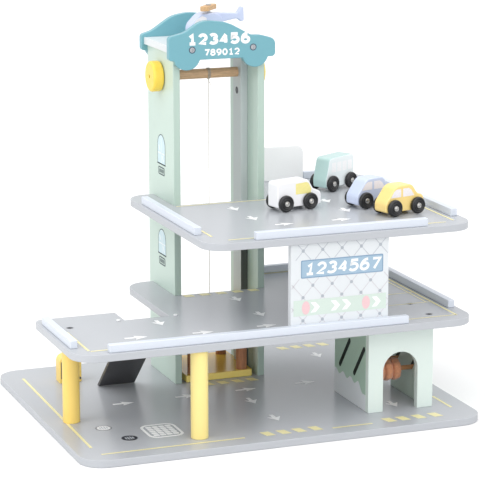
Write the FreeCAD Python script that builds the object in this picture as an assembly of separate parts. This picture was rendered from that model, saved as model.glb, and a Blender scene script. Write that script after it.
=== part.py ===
import FreeCAD, Part
import math
import os

from FreeCAD import Placement, Rotation, Vector

# Wooden toy parking garage with three floors, a string lift, a ramp and a wash tunnel.
# Origin: centre of the base board's underside. X to the right, Y away, Z up, millimetres.

# Boards
board = 9.0
edge_round = 0.8
inner_corner = 3.0
base_length = 510.0
base_depth = 405.0
base_corner = 30.0

# Heights of the decks' undersides
mid_floor_z = 117.2
upper_floor_z = 233.8
tower_top = 435.1

# Tower: two side panels round the lift shaft
shaft_width = 104.0
tower_middle_x = 7.35
tower_to_back_edge = 138.4
tower_depth = 99.7
strip_thickness = 9.5
strip_width = 28.0
strip_screw_z = 376.8
strip_screw_length = 16.0

# Middle deck, measured in from the base's front and back edges
mid_front_inset = 29.4
mid_back_inset = 52.5
mid_step_reach = 40.85
ramp_bay_width = 56.5
ramp_bay_depth = 142.1
strip_past_bay = 40.3
strip_corner = 13.0

# Upper deck, measured from the tower and from the middle deck's edges
upper_left_reach = 38.85
upper_front_setback = 7.7
upper_left_back_setback = 4.0
upper_right_back_reach = 32.0
upper_corner = 28.0

# Low rails round the decks
rail_width = 9.0
rail_height = 9.5
rail_inset = 4.0
rail_round = 1.0
mid_front_rail_ends = (41.0, 90.0)
mid_left_rail_ends = (38.1, 24.3)
mid_right_rail_ends = (55.1, 40.0)
upper_front_rail_ends = (62.5, 63.0)
upper_left_rail_ends = (55.4, 56.0)
upper_right_rail_ends = (45.4, 72.0)
rear_rail_end_inset = 34.0

# Round columns under the middle deck
column_diameter = 21.0
column_left_inset = (31.1, 130.8)
column_front_inset = (154.4, 15.4)
column_screw_shift = 2.4

# Sign panel between the middle and the upper deck
sign_panel_x = (14.1, 141.1)
sign_panel_setback = 5.3

# Low wall beside the tower on the upper deck
rear_wall_right = 165.0
rear_wall_height = 46.0
rear_wall_corner = 10.0
rear_wall_gap = 0.6

# Wash tunnel
wash_right_inset = 43.8
wash_width = 86.9
wash_front_setback = 31.6
wash_depth = 104.9
arch_width = 46.5
arch_middle_offset = -0.55
arch_top = 83.4
slot_width = 6.6
slot_angle = 52.0
slot_travel = 47.5
slot_low_z = 49.5
slot_low_depths = (43.0, 87.5)
roller_radius = 2.9
roller_round = 0.6
roller_inset = 4.5
brush_radius = 14.0
brush_round = 1.5
brush_side_gap = 18.0

# Petrol pump
pump_left_inset = 64.0
pump_width = 29.0
pump_back_edge = 82.5
pump_depth = 18.0
pump_height = 36.0
pump_shoulder = 9.0

# Ramp
ramp_side_gaps = (2.5, 6.0)
ramp_thickness = 4.0
ramp_pin_radius = 1.5
ramp_pin_hold = 5.0
ramp_pin_back = 4.0
ramp_reach = 122.0
ramp_nose_wall = 1.7
ramp_floor_gap = 0.3
ramp_cap_radius = 2.6
ramp_cap_height = 1.6
ramp_cap_round = 0.5
ramp_cap_shank_share = 0.8
ramp_cap_offset = 3.5
ramp_cap_forward = 0.5

# Roof of the tower
roof_overhang = 4.8
sign_bottom = 426.8
sign_wheel_radius = 17.6
sign_wheel_z = 432.0
sign_wheel_reach = 45.35
sign_screw_reach = (-38.75, 42.25)
sign_screw_sink = 0.1
sign_drawn_width = 122.0

# Winch
winch_z = 400.7
winch_dowel_radius = 6.3
knob_radius = 19.5
knob_thickness = 14.0
knob_round = 3.0
knob_bore_depth = 10.0
knob_gap = 0.4
knob_screw_sink = 2.0

# String
string_radius = 0.5
string_x = 8.8
string_lay_gap = 0.05
string_hole_gap = 0.3
winding_turns = 2.5
winding_pitch = 1.5
tail_run = 9.0
tail_bend = 28.0
knot_radius = 2.0

# Lift
lift_side_gap = 6.5
lift_setback = 1.9
lift_depth = 95.6
lift_floor_gap = 0.2
lift_strip_gap = 0.8
lift_post_radius = 7.0
lift_post_height = 73.0
lift_post_inset = 12.0
lift_post_edge = 9.2
lift_corner = 3.0

# Screws
screw_radius = 1.8
screw_head_radius = 4.4
screw_head_height = 2.2
screw_sink = 0.2
screw_length = 24.0
tower_screw_shares = (0.2, 0.8)
wash_screw_shares = (0.35, 0.8)
wash_deck_screw_share = 0.57
recess_radius = 2.3
recess_depth = 1.2
knob_screw_radius = 1.2
knob_screw_head = 2.4
knob_screw_length = 16.0

# Vehicles
vehicle_width = 23.0
vehicle_clearance = 4.5
vehicle_round = 1.6
wheel_base = 36.0
wheel_radius = 10.5
wheel_width = 5.5
wheel_round = 1.4
wheel_gap = 0.4
axle_radius = 1.5
axle_head_radius = 3.3
axle_head_height = 0.8
parked_gap = 0.3

# Helicopter
heli_x = 12.0
heli_width = 20.0
heli_boom_width = 8.0
rotor_length = 40.0
rotor_width = 11.0
rotor_thickness = 6.0
rotor_rise = 2.6
rotor_middle_offset = -0.6
rotor_angle = 51.0
rotor_pin_radius = 2.0
rotor_pin_depth = 12.0
rotor_pin_head = 3.4
rotor_gap = 0.4

# Fits
running_fit = 0.08
still_fit = 0.05


# Values that follow from the ones above
base_top = board
mid_top = mid_floor_z + board
upper_top = upper_floor_z + board
half_length = base_length / 2
half_depth = base_depth / 2
tower_front = half_depth - tower_to_back_edge
shaft_left = tower_middle_x - shaft_width / 2
shaft_right = tower_middle_x + shaft_width / 2
tower_left = shaft_left - board
tower_right = shaft_right + board
tower_back = tower_front + tower_depth
roof_top = tower_top + board
winch_y = tower_front + tower_depth / 2
strip_front = winch_y - strip_width / 2
string_lay_radius = winch_dowel_radius + string_radius + string_lay_gap
string_y = winch_y - string_lay_radius
mid_front = mid_front_inset - half_depth
mid_back = half_depth - mid_back_inset
mid_step_x = tower_left - mid_step_reach
ramp_bay_x = mid_step_x - ramp_bay_width
ramp_bay_front = mid_front + ramp_bay_depth
strip_back = ramp_bay_front + strip_past_bay
upper_left = tower_left - upper_left_reach
upper_front = mid_front + upper_front_setback
upper_left_back = mid_back - upper_left_back_setback
upper_right_back = mid_back + upper_right_back_reach
column_left_xy = (column_left_inset[0] - half_length, mid_front + column_left_inset[1])
column_front_xy = (column_front_inset[0] - half_length, mid_front + column_front_inset[1])
wash_right = half_length - wash_right_inset
wash_left = wash_right - wash_width
wash_front = mid_front + wash_front_setback
arch_middle_x = (wash_left + wash_right) / 2 + arch_middle_offset
lift_width = shaft_width - 2 * lift_side_gap
lift_front = tower_front + lift_setback
lift_bottom = base_top + lift_floor_gap
lift_floor_top = lift_bottom + board
lift_roof_bottom = lift_floor_top + lift_post_height
lift_roof_top = lift_roof_bottom + board
wash_back = wash_front + wash_depth
ramp_pin_y = ramp_bay_front + ramp_pin_back
ramp_pin_z = mid_floor_z + board / 2

nodes = {}


def keep(name, *solids):
    """Store one piece, or a group of alike pieces, under its name."""
    nodes[name] = solids[0] if len(solids) == 1 else Part.makeCompound(list(solids))


def block(x0, x1, y0, y1, z0, z1):
    """Rectangular solid between two corners."""
    return Part.makeBox(x1 - x0, y1 - y0, z1 - z0, Vector(x0, y0, z0))


def rounded(solid, radius):
    """The solid with all its edges rounded."""
    return solid.makeFillet(radius, solid.Edges)


def corner_arc(start, corner, end, reach):
    """Arc tangent to both legs of a corner, from reach before it to reach after it."""
    back = (start - corner).normalize()
    ahead = (end - corner).normalize()
    half = back.getAngle(ahead) / 2
    radius = reach * math.tan(half)
    middle = (back + ahead).normalize() * (radius / math.sin(half) - radius)
    return corner + back * reach, corner + middle, corner + ahead * reach


def outline_face(corners, place):
    """Flat face through corners (u, v, radius), laid in space by place(u, v)."""
    turns = []
    for index, (u, v, radius) in enumerate(corners):
        before = corners[index - 1]
        after = corners[(index + 1) % len(corners)]
        here = Vector(u, v, 0)
        start = Vector(before[0], before[1], 0)
        end = Vector(after[0], after[1], 0)
        half = (start - here).getAngle(end - here) / 2
        turns.append(corner_arc(start, here, end, radius / math.tan(half)))
    edges = []
    for index, (start, middle, end) in enumerate(turns):
        onward = turns[(index + 1) % len(turns)][0]
        if start.distanceToPoint(end) > 0.01:
            arc = Part.Arc(place(start.x, start.y), place(middle.x, middle.y), place(end.x, end.y))
            edges.append(arc.toShape())
        if end.distanceToPoint(onward) > 0.01:
            edges.append(Part.LineSegment(place(end.x, end.y), place(onward.x, onward.y)).toShape())
    return Part.Face(Part.Wire(edges))


def flat_board(corners, bottom, thickness=board):
    """Board lying flat, with its corners given in X and Y."""
    face = outline_face(corners, lambda u, v: Vector(u, v, bottom))
    return rounded(face.extrude(Vector(0, 0, thickness)), edge_round)


def front_board(corners, front, thickness=board, ease=edge_round):
    """Board standing across the view, with its corners given in X and Z."""
    face = outline_face(corners, lambda u, v: Vector(u, front, v))
    solid = face.extrude(Vector(0, thickness, 0))
    return rounded(solid, ease) if ease else solid


def screw(seat, inward, length=screw_length):
    """Screw with a cross recess, its head's outer face at seat and its shank along inward."""
    head = Part.makeCylinder(screw_head_radius, screw_head_height)
    shank = Part.makeCylinder(screw_radius, length)
    solid = head.fuse(shank).removeSplitter()
    wide = recess_radius * 2
    narrow = recess_radius * 0.5
    for x_size, y_size in ((wide, narrow), (narrow, wide)):
        cross = Part.makeBox(x_size, y_size, recess_depth, Vector(-x_size / 2, -y_size / 2, 0))
        solid = solid.cut(cross)
    solid.Placement = Placement(seat, Rotation(Vector(0, 0, 1), inward))
    return solid


def screw_hole(seat, inward, length=screw_length):
    """Room for a screw: its counterbore, open towards the outside, and its shank hole."""
    start = seat - inward * (screw_sink + 1)
    head_room = screw_head_height + screw_sink + 1 + still_fit
    head = Part.makeCylinder(screw_head_radius + still_fit, head_room, start, inward)
    shank = Part.makeCylinder(screw_radius + still_fit, length + still_fit, seat, inward)
    return head.fuse(shank)


# Screw places: from below through the base, and from above through the middle deck
up = Vector(0, 0, 1)
down = Vector(0, 0, -1)
panel_left_x = tower_left + board / 2
panel_right_x = tower_right - board / 2
wash_left_x = wash_left + board / 2
wash_right_x = wash_right - board / 2
wash_front_y = wash_front + board / 2
column_front_screw = (column_front_xy[0], column_front_xy[1] + column_screw_shift)
base_screw_places = [column_left_xy, column_front_xy]
for panel_x in (panel_left_x, panel_right_x):
    for share in tower_screw_shares:
        base_screw_places.append((panel_x, tower_front + tower_depth * share))
for wall_x in (wash_left_x, wash_right_x):
    for share in wash_screw_shares:
        base_screw_places.append((wall_x, wash_front + wash_depth * share))
deck_screw_places = [column_left_xy, column_front_screw]
for wall_x in (wash_left_x, wash_right_x):
    deck_screw_places.append((wall_x, wash_front_y))
    deck_screw_places.append((wall_x, wash_front + wash_depth * wash_deck_screw_share))
base_seats = [Vector(x, y, screw_sink) for x, y in base_screw_places]
deck_seats = [Vector(x, y, mid_top - screw_sink) for x, y in deck_screw_places]
base_holes = Part.makeCompound([screw_hole(seat, up) for seat in base_seats])
deck_holes = Part.makeCompound([screw_hole(seat, down) for seat in deck_seats])
base_screws = [screw(seat, up) for seat in base_seats]
deck_screws = [screw(seat, down) for seat in deck_seats]
keep("board_screws", *base_screws, *deck_screws)


# Base board with rounded corners
base_outline = [
    (-half_length, -half_depth, base_corner),
    (half_length, -half_depth, base_corner),
    (half_length, half_depth, base_corner),
    (-half_length, half_depth, base_corner),
]
keep("base_board", flat_board(base_outline, 0).cut(base_holes))


# Middle deck: a bay for the ramp at its left and a notch round the tower at its back
mid_outline = [
    (-half_length, mid_front, base_corner),
    (half_length, mid_front, base_corner),
    (half_length, mid_back, base_corner),
    (tower_right, mid_back, 0),
    (tower_right, tower_front, 0),
    (tower_left, tower_front, 0),
    (tower_left, mid_back, 0),
    (mid_step_x, mid_back, base_corner),
    (mid_step_x, ramp_bay_front, 0),
    (ramp_bay_x, ramp_bay_front, 0),
    (ramp_bay_x, strip_back, inner_corner),
    (-half_length, strip_back, strip_corner),
]
ramp_pin_start = ramp_bay_x - ramp_pin_hold
ramp_pin_end = mid_step_x + ramp_pin_hold
ramp_pin_base = Vector(ramp_pin_start, ramp_pin_y, ramp_pin_z)
ramp_pin_length = ramp_pin_end - ramp_pin_start
pin_bore = Part.makeCylinder(ramp_pin_radius + still_fit, ramp_pin_length, ramp_pin_base, Vector(1, 0, 0))
cap_y = ramp_bay_front - ramp_cap_forward
cap_places = [
    Vector(ramp_pin_start - ramp_cap_offset, cap_y, mid_top),
    Vector(ramp_pin_end + ramp_cap_offset, cap_y, mid_top),
]
cap_shank_depth = board * ramp_cap_shank_share
cap_holes = [
    Part.makeCylinder(screw_radius + still_fit, cap_shank_depth, place, down) for place in cap_places
]
mid_deck = flat_board(mid_outline, mid_floor_z).cut(deck_holes).cut(pin_bore)
keep("mid_deck", mid_deck.cut(Part.makeCompound(cap_holes)))


# Upper deck: a notch round the tower, and deeper beside it on the right
upper_outline = [
    (upper_left, upper_front, upper_corner),
    (half_length, upper_front, base_corner),
    (half_length, upper_right_back, base_corner),
    (tower_right, upper_right_back, inner_corner),
    (tower_right, tower_front, 0),
    (tower_left, tower_front, 0),
    (tower_left, upper_left_back, 0),
    (upper_left, upper_left_back, upper_corner),
]
keep("upper_deck", flat_board(upper_outline, upper_floor_z))


# Rails: low square strips set in from the decks' edges
def rail(x0, x1, y0, y1, deck_top):
    """Rail lying on a deck, with softened edges."""
    return rounded(block(x0, x1, y0, y1, deck_top, deck_top + rail_height), rail_round)


rail_right_x1 = half_length - rail_inset
rail_right_x0 = rail_right_x1 - rail_width
rail_left_x0 = -half_length + rail_inset
mid_rail_y = mid_front + rail_inset
upper_rail_y = upper_front + rail_inset
upper_rail_x = upper_left + rail_inset
mid_rear_y = mid_back - rail_inset
upper_rear_y = upper_right_back - rail_inset
rear_rail_start = tower_right + rear_wall_gap
rear_rail_end = half_length - rear_rail_end_inset


def span(low_edge, high_edge, ends):
    """Where a rail starts and ends between two edges."""
    return low_edge + ends[0], high_edge - ends[1]


mid_front_rail_x = span(-half_length, half_length, mid_front_rail_ends)
mid_left_rail_y = span(mid_front, strip_back, mid_left_rail_ends)
mid_right_rail_y = span(mid_front, mid_back, mid_right_rail_ends)
upper_front_rail_x = span(upper_left, half_length, upper_front_rail_ends)
upper_left_rail_y = span(upper_front, upper_left_back, upper_left_rail_ends)
upper_right_rail_y = span(upper_front, upper_right_back, upper_right_rail_ends)
keep("mid_front_rail", rail(*mid_front_rail_x, mid_rail_y, mid_rail_y + rail_width, mid_top))
keep("mid_left_rail", rail(rail_left_x0, rail_left_x0 + rail_width, *mid_left_rail_y, mid_top))
keep("mid_right_rail", rail(rail_right_x0, rail_right_x1, *mid_right_rail_y, mid_top))
keep("mid_rear_rail", rail(rear_rail_start, rear_rail_end, mid_rear_y - rail_width, mid_rear_y, mid_top))
keep("upper_front_rail", rail(*upper_front_rail_x, upper_rail_y, upper_rail_y + rail_width, upper_top))
keep("upper_left_rail", rail(upper_rail_x, upper_rail_x + rail_width, *upper_left_rail_y, upper_top))
keep("upper_right_rail", rail(rail_right_x0, rail_right_x1, *upper_right_rail_y, upper_top))
upper_rear_start = rear_wall_right + rear_wall_gap
upper_rear_rail = rail(
    upper_rear_start, rear_rail_end, upper_rear_y - rail_width, upper_rear_y, upper_top
)
keep("upper_rear_rail", upper_rear_rail)


# Low wall on the upper deck beside the tower, with rounded upper corners
wall_top = upper_top + rear_wall_height
rear_wall_outline = [
    (rear_rail_start, upper_top, 0),
    (rear_wall_right, upper_top, 0),
    (rear_wall_right, wall_top, rear_wall_corner),
    (rear_rail_start, wall_top, rear_wall_corner),
]
keep("upper_rear_wall", front_board(rear_wall_outline, upper_rear_y - board))


# Sign panel that carries the front of the upper deck
sign_panel_front = upper_front + sign_panel_setback
sign_panel_outline = [
    (sign_panel_x[0], mid_top, 0),
    (sign_panel_x[1], mid_top, 0),
    (sign_panel_x[1], upper_floor_z, 0),
    (sign_panel_x[0], upper_floor_z, 0),
]
keep("sign_panel", front_board(sign_panel_outline, sign_panel_front))


# Columns: thick dowels between the base and the middle deck
column_radius = column_diameter / 2
column_height = mid_floor_z - base_top
screw_room = base_holes.fuse(deck_holes)
for column_name, (column_x, column_y) in (
    ("left_column", column_left_xy),
    ("front_column", column_front_xy),
):
    column = Part.makeCylinder(column_radius, column_height, Vector(column_x, column_y, base_top))
    keep(column_name, rounded(column, edge_round).cut(screw_room))


# Tower side panels and the guide strips that keep the lift straight
axis_x = Vector(1, 0, 0)
winch_axis_start = Vector(tower_left - 1, winch_y, winch_z)
winch_bore_length = tower_right - tower_left + 2
winch_bore = Part.makeCylinder(
    winch_dowel_radius + running_fit, winch_bore_length, winch_axis_start, axis_x
)


strip_left_x = shaft_left + strip_thickness
strip_right_x = shaft_right - strip_thickness
strip_seats = (
    (Vector(strip_left_x - screw_sink, winch_y, strip_screw_z), axis_x * -1),
    (Vector(strip_right_x + screw_sink, winch_y, strip_screw_z), axis_x),
)
strip_screws = [screw(seat, way, strip_screw_length) for seat, way in strip_seats]
strip_holes = Part.makeCompound([screw_hole(seat, way, strip_screw_length) for seat, way in strip_seats])


def tower_panel(x0, x1):
    """Upright board from the base to the roof."""
    panel = rounded(block(x0, x1, tower_front, tower_back, base_top, tower_top), edge_round)
    return panel.cut(winch_bore).cut(base_holes).cut(strip_holes)


def guide_strip(x0, x1):
    """Narrow board screwed to a panel's inner side."""
    strip = block(x0, x1, strip_front, strip_front + strip_width, base_top, tower_top)
    return rounded(strip, edge_round).cut(winch_bore).cut(strip_holes)


keep("tower_left_panel", tower_panel(tower_left, shaft_left))
keep("tower_right_panel", tower_panel(shaft_right, tower_right))
keep("left_guide_strip", guide_strip(shaft_left, strip_left_x))
keep("right_guide_strip", guide_strip(strip_right_x, shaft_right))


# Roof board of the tower and the two car-shaped signs screwed to its edges
sign_screw_z = tower_top + board / 2
front_sign_y = tower_front - board
rear_sign_back = tower_back + board
sign_stretch = (tower_right - tower_left) / sign_drawn_width
sign_screw_x = [tower_middle_x + reach * sign_stretch for reach in sign_screw_reach]
front_seats = [Vector(x, front_sign_y - sign_screw_sink, sign_screw_z) for x in sign_screw_x]
rear_seats = [Vector(x, rear_sign_back + sign_screw_sink, sign_screw_z) for x in sign_screw_x]
away = Vector(0, 1, 0)
nearer = Vector(0, -1, 0)
sign_holes = Part.makeCompound(
    [screw_hole(seat, away) for seat in front_seats]
    + [screw_hole(seat, nearer) for seat in rear_seats]
)
keep(
    "tower_screws",
    *strip_screws,
    *[screw(seat, away) for seat in front_seats],
    *[screw(seat, nearer) for seat in rear_seats],
)
roof_left = tower_left - roof_overhang
roof_right = tower_right + roof_overhang
roof_outline = [
    (roof_left, tower_front, 0),
    (roof_right, tower_front, 0),
    (roof_right, tower_back, 0),
    (roof_left, tower_back, 0),
]
keep("tower_roof_board", flat_board(roof_outline, tower_top).cut(sign_holes))


def car_sign(corners, front):
    """Car outline sawn from a board, with two round wheels below its sill."""
    stretched = [(u * sign_stretch, v, radius) for u, v, radius in corners]
    face = outline_face(stretched, lambda u, v: Vector(tower_middle_x + u, front, v))
    solid = face.extrude(Vector(0, board, 0))
    for side in (-1, 1):
        hub_x = tower_middle_x + side * sign_wheel_reach * sign_stretch
        hub = Vector(hub_x, front, sign_wheel_z)
        solid = solid.fuse(Part.makeCylinder(sign_wheel_radius, board, hub, away))
    return rounded(solid.removeSplitter(), edge_round).cut(sign_holes)


front_sign_outline = [
    (-69.35, sign_bottom, 4),
    (-69.35, 456.6, 5),
    (-48.35, 461.4, 22),
    (-25.35, 476.0, 30),
    (7.65, 472.6, 55),
    (40.15, 454.9, 7),
    (52.65, 454.4, 30),
    (72.15, 449.0, 9),
    (72.15, sign_bottom, 5),
]
rear_sign_outline = [
    (-68.95, sign_bottom, 4),
    (-68.95, 447.4, 5),
    (-54.35, 451.6, 30),
    (-27.35, 469.4, 40),
    (-1.35, 474.2, 60),
    (22.65, 468.0, 30),
    (38.0, 456.5, 20),
    (60.0, 451.4, 30),
    (72.15, 444.8, 7),
    (72.15, sign_bottom, 4),
]
keep("front_roof_sign", car_sign(front_sign_outline, front_sign_y))
keep("rear_roof_sign", car_sign(rear_sign_outline, tower_back))


# Wash tunnel: an arched front and two side walls with slanted slots for the rollers
slot_slope = math.radians(slot_angle)
slot_way = Vector(0, -math.cos(slot_slope), math.sin(slot_slope))
arch_radius = arch_width / 2
arch_left = arch_middle_x - arch_radius
arch_right = arch_middle_x + arch_radius
arch_spring = arch_top - arch_radius


def arch_opening():
    """Doorway with a half-round top, cut right through the front board."""
    door = block(arch_left, arch_right, wash_front - 1, wash_front + board + 1, base_top - 1, arch_spring)
    top_centre = Vector(arch_middle_x, wash_front - 1, arch_spring)
    return door.fuse(Part.makeCylinder(arch_radius, board + 2, top_centre, away))


def slot_opening(low_y):
    """Slanted slot through both side walls, its lower end round the resting roller."""
    start = Vector(wash_left - 1, low_y, slot_low_z)
    reach = wash_right - wash_left + 2
    side = Vector(0, slot_way.z, -slot_way.y) * (slot_width / 2)
    corners = [
        start + side,
        start + side + slot_way * slot_travel,
        start - side + slot_way * slot_travel,
        start - side,
        start + side,
    ]
    middle = Part.Face(Part.makePolygon(corners)).extrude(Vector(reach, 0, 0))
    low = Part.makeCylinder(slot_width / 2, reach, start, axis_x)
    high = Part.makeCylinder(slot_width / 2, reach, start + slot_way * slot_travel, axis_x)
    return middle.fuse(low).fuse(high)


slot_low_y = [wash_front + depth for depth in slot_low_depths]
slots = slot_opening(slot_low_y[0]).fuse(slot_opening(slot_low_y[1]))
wash_front_board = block(wash_left, wash_right, wash_front, wash_front + board, base_top, mid_floor_z)
wash_front_board = rounded(wash_front_board, edge_round).cut(arch_opening())
keep("wash_front_arch", wash_front_board.cut(screw_room))
for wall_name, wall_x0, wall_x1 in (
    ("wash_left_wall", wash_left, wash_left + board),
    ("wash_right_wall", wash_right - board, wash_right),
):
    wall = block(wall_x0, wall_x1, wash_front + board, wash_back, base_top, mid_floor_z)
    keep(wall_name, rounded(wall, edge_round).cut(slots).cut(screw_room))


# Wash rollers: a felt brush turning on a dowel that lies in the slots
roller_start = wash_left + roller_inset
roller_length = wash_width - 2 * roller_inset
brush_start = wash_left + board + brush_side_gap
brush_length = wash_width - 2 * (board + brush_side_gap)
for roller_name, low_y in (("front", slot_low_y[0]), ("rear", slot_low_y[1])):
    roller_base = Vector(roller_start, low_y, slot_low_z)
    brush_base = Vector(brush_start, low_y, slot_low_z)
    roller = Part.makeCylinder(roller_radius, roller_length, roller_base, axis_x)
    felt = Part.makeCylinder(brush_radius, brush_length, brush_base, axis_x)
    felt_bore = Part.makeCylinder(roller_radius + running_fit, brush_length, brush_base, axis_x)
    keep(roller_name + "_wash_dowel", rounded(roller, roller_round))
    keep(roller_name + "_wash_brush", rounded(felt, brush_round).cut(felt_bore))


# Petrol pump: one block with a shouldered top
pump_top = base_top + pump_height
pump_left = pump_left_inset - half_length
pump_right = pump_left + pump_width
pump_front = half_depth - pump_back_edge
pump_outline = [
    (pump_left, base_top, 0),
    (pump_right, base_top, 0),
    (pump_right, pump_top, pump_shoulder),
    (pump_left, pump_top, pump_shoulder),
]
keep("petrol_pump", front_board(pump_outline, pump_front, pump_depth))


# Ramp: a thin board on a steel pin, its foot on the base behind the middle deck
ramp_x0 = ramp_bay_x + ramp_side_gaps[0]
ramp_x1 = mid_step_x - ramp_side_gaps[1]
ramp_width = ramp_x1 - ramp_x0
ramp_nose = ramp_pin_radius + ramp_nose_wall
ramp_rise = ramp_pin_z - base_top - ramp_floor_gap
ramp_slope = math.atan2(ramp_rise, ramp_reach)
ramp_length = math.hypot(ramp_rise, ramp_reach)
ramp_profile = [
    (0, -ramp_nose, 0),
    (ramp_length - ramp_thickness, -ramp_nose, 0),
    (ramp_length, -ramp_nose + ramp_thickness, 0),
    (0, -ramp_nose + ramp_thickness, 0),
]


def ramp_place(along, above):
    """Point of the ramp's side view, along its slope and square to it."""
    y = ramp_pin_y + along * math.cos(ramp_slope) + above * math.sin(ramp_slope)
    z = ramp_pin_z - along * math.sin(ramp_slope) + above * math.cos(ramp_slope)
    return Vector(ramp_x0, y, z)


ramp_nose_base = Vector(ramp_x0, ramp_pin_y, ramp_pin_z)
ramp_board = outline_face(ramp_profile, ramp_place).extrude(Vector(ramp_width, 0, 0))
ramp_nose_bar = Part.makeCylinder(ramp_nose, ramp_width, ramp_nose_base, axis_x)
ramp_bore = Part.makeCylinder(ramp_pin_radius + running_fit, ramp_width, ramp_nose_base, axis_x)
ramp_ground = block(ramp_x0 - 1, ramp_x1 + 1, 0, half_depth, 0, base_top + ramp_floor_gap)
ramp_solid = ramp_board.fuse(ramp_nose_bar).removeSplitter().cut(ramp_bore).cut(ramp_ground)
keep("ramp_board", ramp_solid)
keep("ramp_pin", Part.makeCylinder(ramp_pin_radius, ramp_pin_length, ramp_pin_base, axis_x))
caps = []
for place in cap_places:
    cap = rounded(Part.makeCylinder(ramp_cap_radius, ramp_cap_height, place), ramp_cap_round)
    caps.append(cap.fuse(Part.makeCylinder(screw_radius, cap_shank_depth, place, down)))
keep("ramp_pin_caps", *caps)


# Winch: a dowel across the shaft with a knob on each end
dowel_left = tower_left - knob_gap - knob_bore_depth
dowel_right = tower_right + knob_gap + knob_bore_depth
dowel_base = Vector(dowel_left, winch_y, winch_z)
winch_dowel = Part.makeCylinder(winch_dowel_radius, dowel_right - dowel_left, dowel_base, axis_x)
knob_screws = []
for side, knob_name in ((-1, "left_winch_knob"), (1, "right_winch_knob")):
    inner_x = tower_left - knob_gap if side < 0 else tower_right + knob_gap
    outward = Vector(side, 0, 0)
    inner = Vector(inner_x, winch_y, winch_z)
    knob = rounded(Part.makeCylinder(knob_radius, knob_thickness, inner, outward), knob_round)
    socket_radius = winch_dowel_radius + still_fit
    socket = Part.makeCylinder(socket_radius, knob_bore_depth + still_fit, inner, outward)
    head_face = inner + outward * (knob_thickness - knob_screw_sink)
    head = Part.makeCylinder(knob_screw_head, knob_screw_sink, head_face, outward * -1)
    shank = Part.makeCylinder(knob_screw_radius, knob_screw_length, head_face, outward * -1)
    head_room = Part.makeCylinder(
        knob_screw_head + still_fit,
        knob_screw_sink * 2 + still_fit,
        head_face + outward * knob_screw_sink,
        outward * -1,
    )
    shank_room = Part.makeCylinder(
        knob_screw_radius + still_fit, knob_screw_length + still_fit, head_face, outward * -1
    )
    keep(knob_name, knob.cut(socket).cut(head_room).cut(shank_room))
    winch_dowel = winch_dowel.cut(shank_room)
    knob_screws.append(head.fuse(shank).removeSplitter())
keep("winch_dowel", winch_dowel)
keep("winch_screws", *knob_screws)


# String: a few turns on the dowel with a loose tail, and the straight run down to the lift
def lay_point(turn):
    """Point and direction of the string's middle line on the dowel after so many turns."""
    angle = 2 * math.pi * turn
    point = Vector(
        string_x + winding_pitch * turn,
        winch_y - string_lay_radius * math.cos(angle),
        winch_z + string_lay_radius * math.sin(angle),
    )
    direction = Vector(
        winding_pitch / (2 * math.pi),
        string_lay_radius * math.sin(angle),
        string_lay_radius * math.cos(angle),
    )
    return point, direction.normalize()


def double_arc(start, start_way, end, end_way):
    """Two arcs that leave start and reach end along the given directions."""
    gap = end - start
    ways = start_way + end_way
    spread = 2 * (1 - start_way.dot(end_way))
    lean = gap.dot(ways)
    reach = (math.sqrt(lean * lean + spread * gap.dot(gap)) - lean) / spread
    first_corner = start + start_way * reach
    last_corner = end - end_way * reach
    joint = (first_corner + last_corner) * 0.5
    arcs = []
    for begin, corner, finish in ((start, first_corner, joint), (joint, last_corner, end)):
        arcs.append(Part.Arc(*corner_arc(begin, corner, finish, reach)).toShape())
    return arcs


winding_edges = []
quarters = round(winding_turns * 4)
for quarter in range(quarters):
    start, start_way = lay_point(quarter / 4)
    end, end_way = lay_point((quarter + 1) / 4)
    winding_edges += double_arc(start, start_way, end, end_way)
tail_start, tail_way = lay_point(winding_turns)
tail_corner = tail_start + tail_way * tail_run
bend = math.radians(tail_bend)
tail_end = tail_corner + Vector(math.sin(bend), 0, -math.cos(bend)) * tail_run
tail_turn = corner_arc(tail_start, tail_corner, tail_end, tail_run / 3)
winding_edges.append(Part.LineSegment(tail_start, tail_turn[0]).toShape())
winding_edges.append(Part.Arc(*tail_turn).toShape())
winding_edges.append(Part.LineSegment(tail_turn[2], tail_end).toShape())
winding_route = Part.Wire(winding_edges)
first_point, first_way = lay_point(0)
string_ring = Part.Wire(Part.makeCircle(string_radius, first_point, first_way))
winding = winding_route.makePipeShell([string_ring], True, False)
keep("string_winding", winding)

measure_step = 0.4
route_points = winding_route.discretize(Distance=measure_step)
skip = math.ceil(4 * string_radius / measure_step) + 1
least = min(
    one.distanceToPoint(other)
    for index, one in enumerate(route_points)
    for other in route_points[index + skip:]
)
print("string winding: least gap to itself %.2f mm" % (least - 2 * string_radius))
section = math.pi * string_radius ** 2
print("string winding: volume %.2f, section times length %.2f" % (
    winding.Volume, section * winding_route.Length))

string_foot = Vector(string_x, string_y, lift_roof_top)
keep("lift_string", Part.makeCylinder(string_radius, winch_z - lift_roof_top, string_foot))
knot_centre = Vector(string_x, string_y, lift_roof_bottom - knot_radius)
knot_tail = Part.makeCylinder(string_radius, lift_roof_top - knot_centre.z, knot_centre)
keep("lift_string_knot", Part.makeSphere(knot_radius, knot_centre).fuse(knot_tail).removeSplitter())


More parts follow.
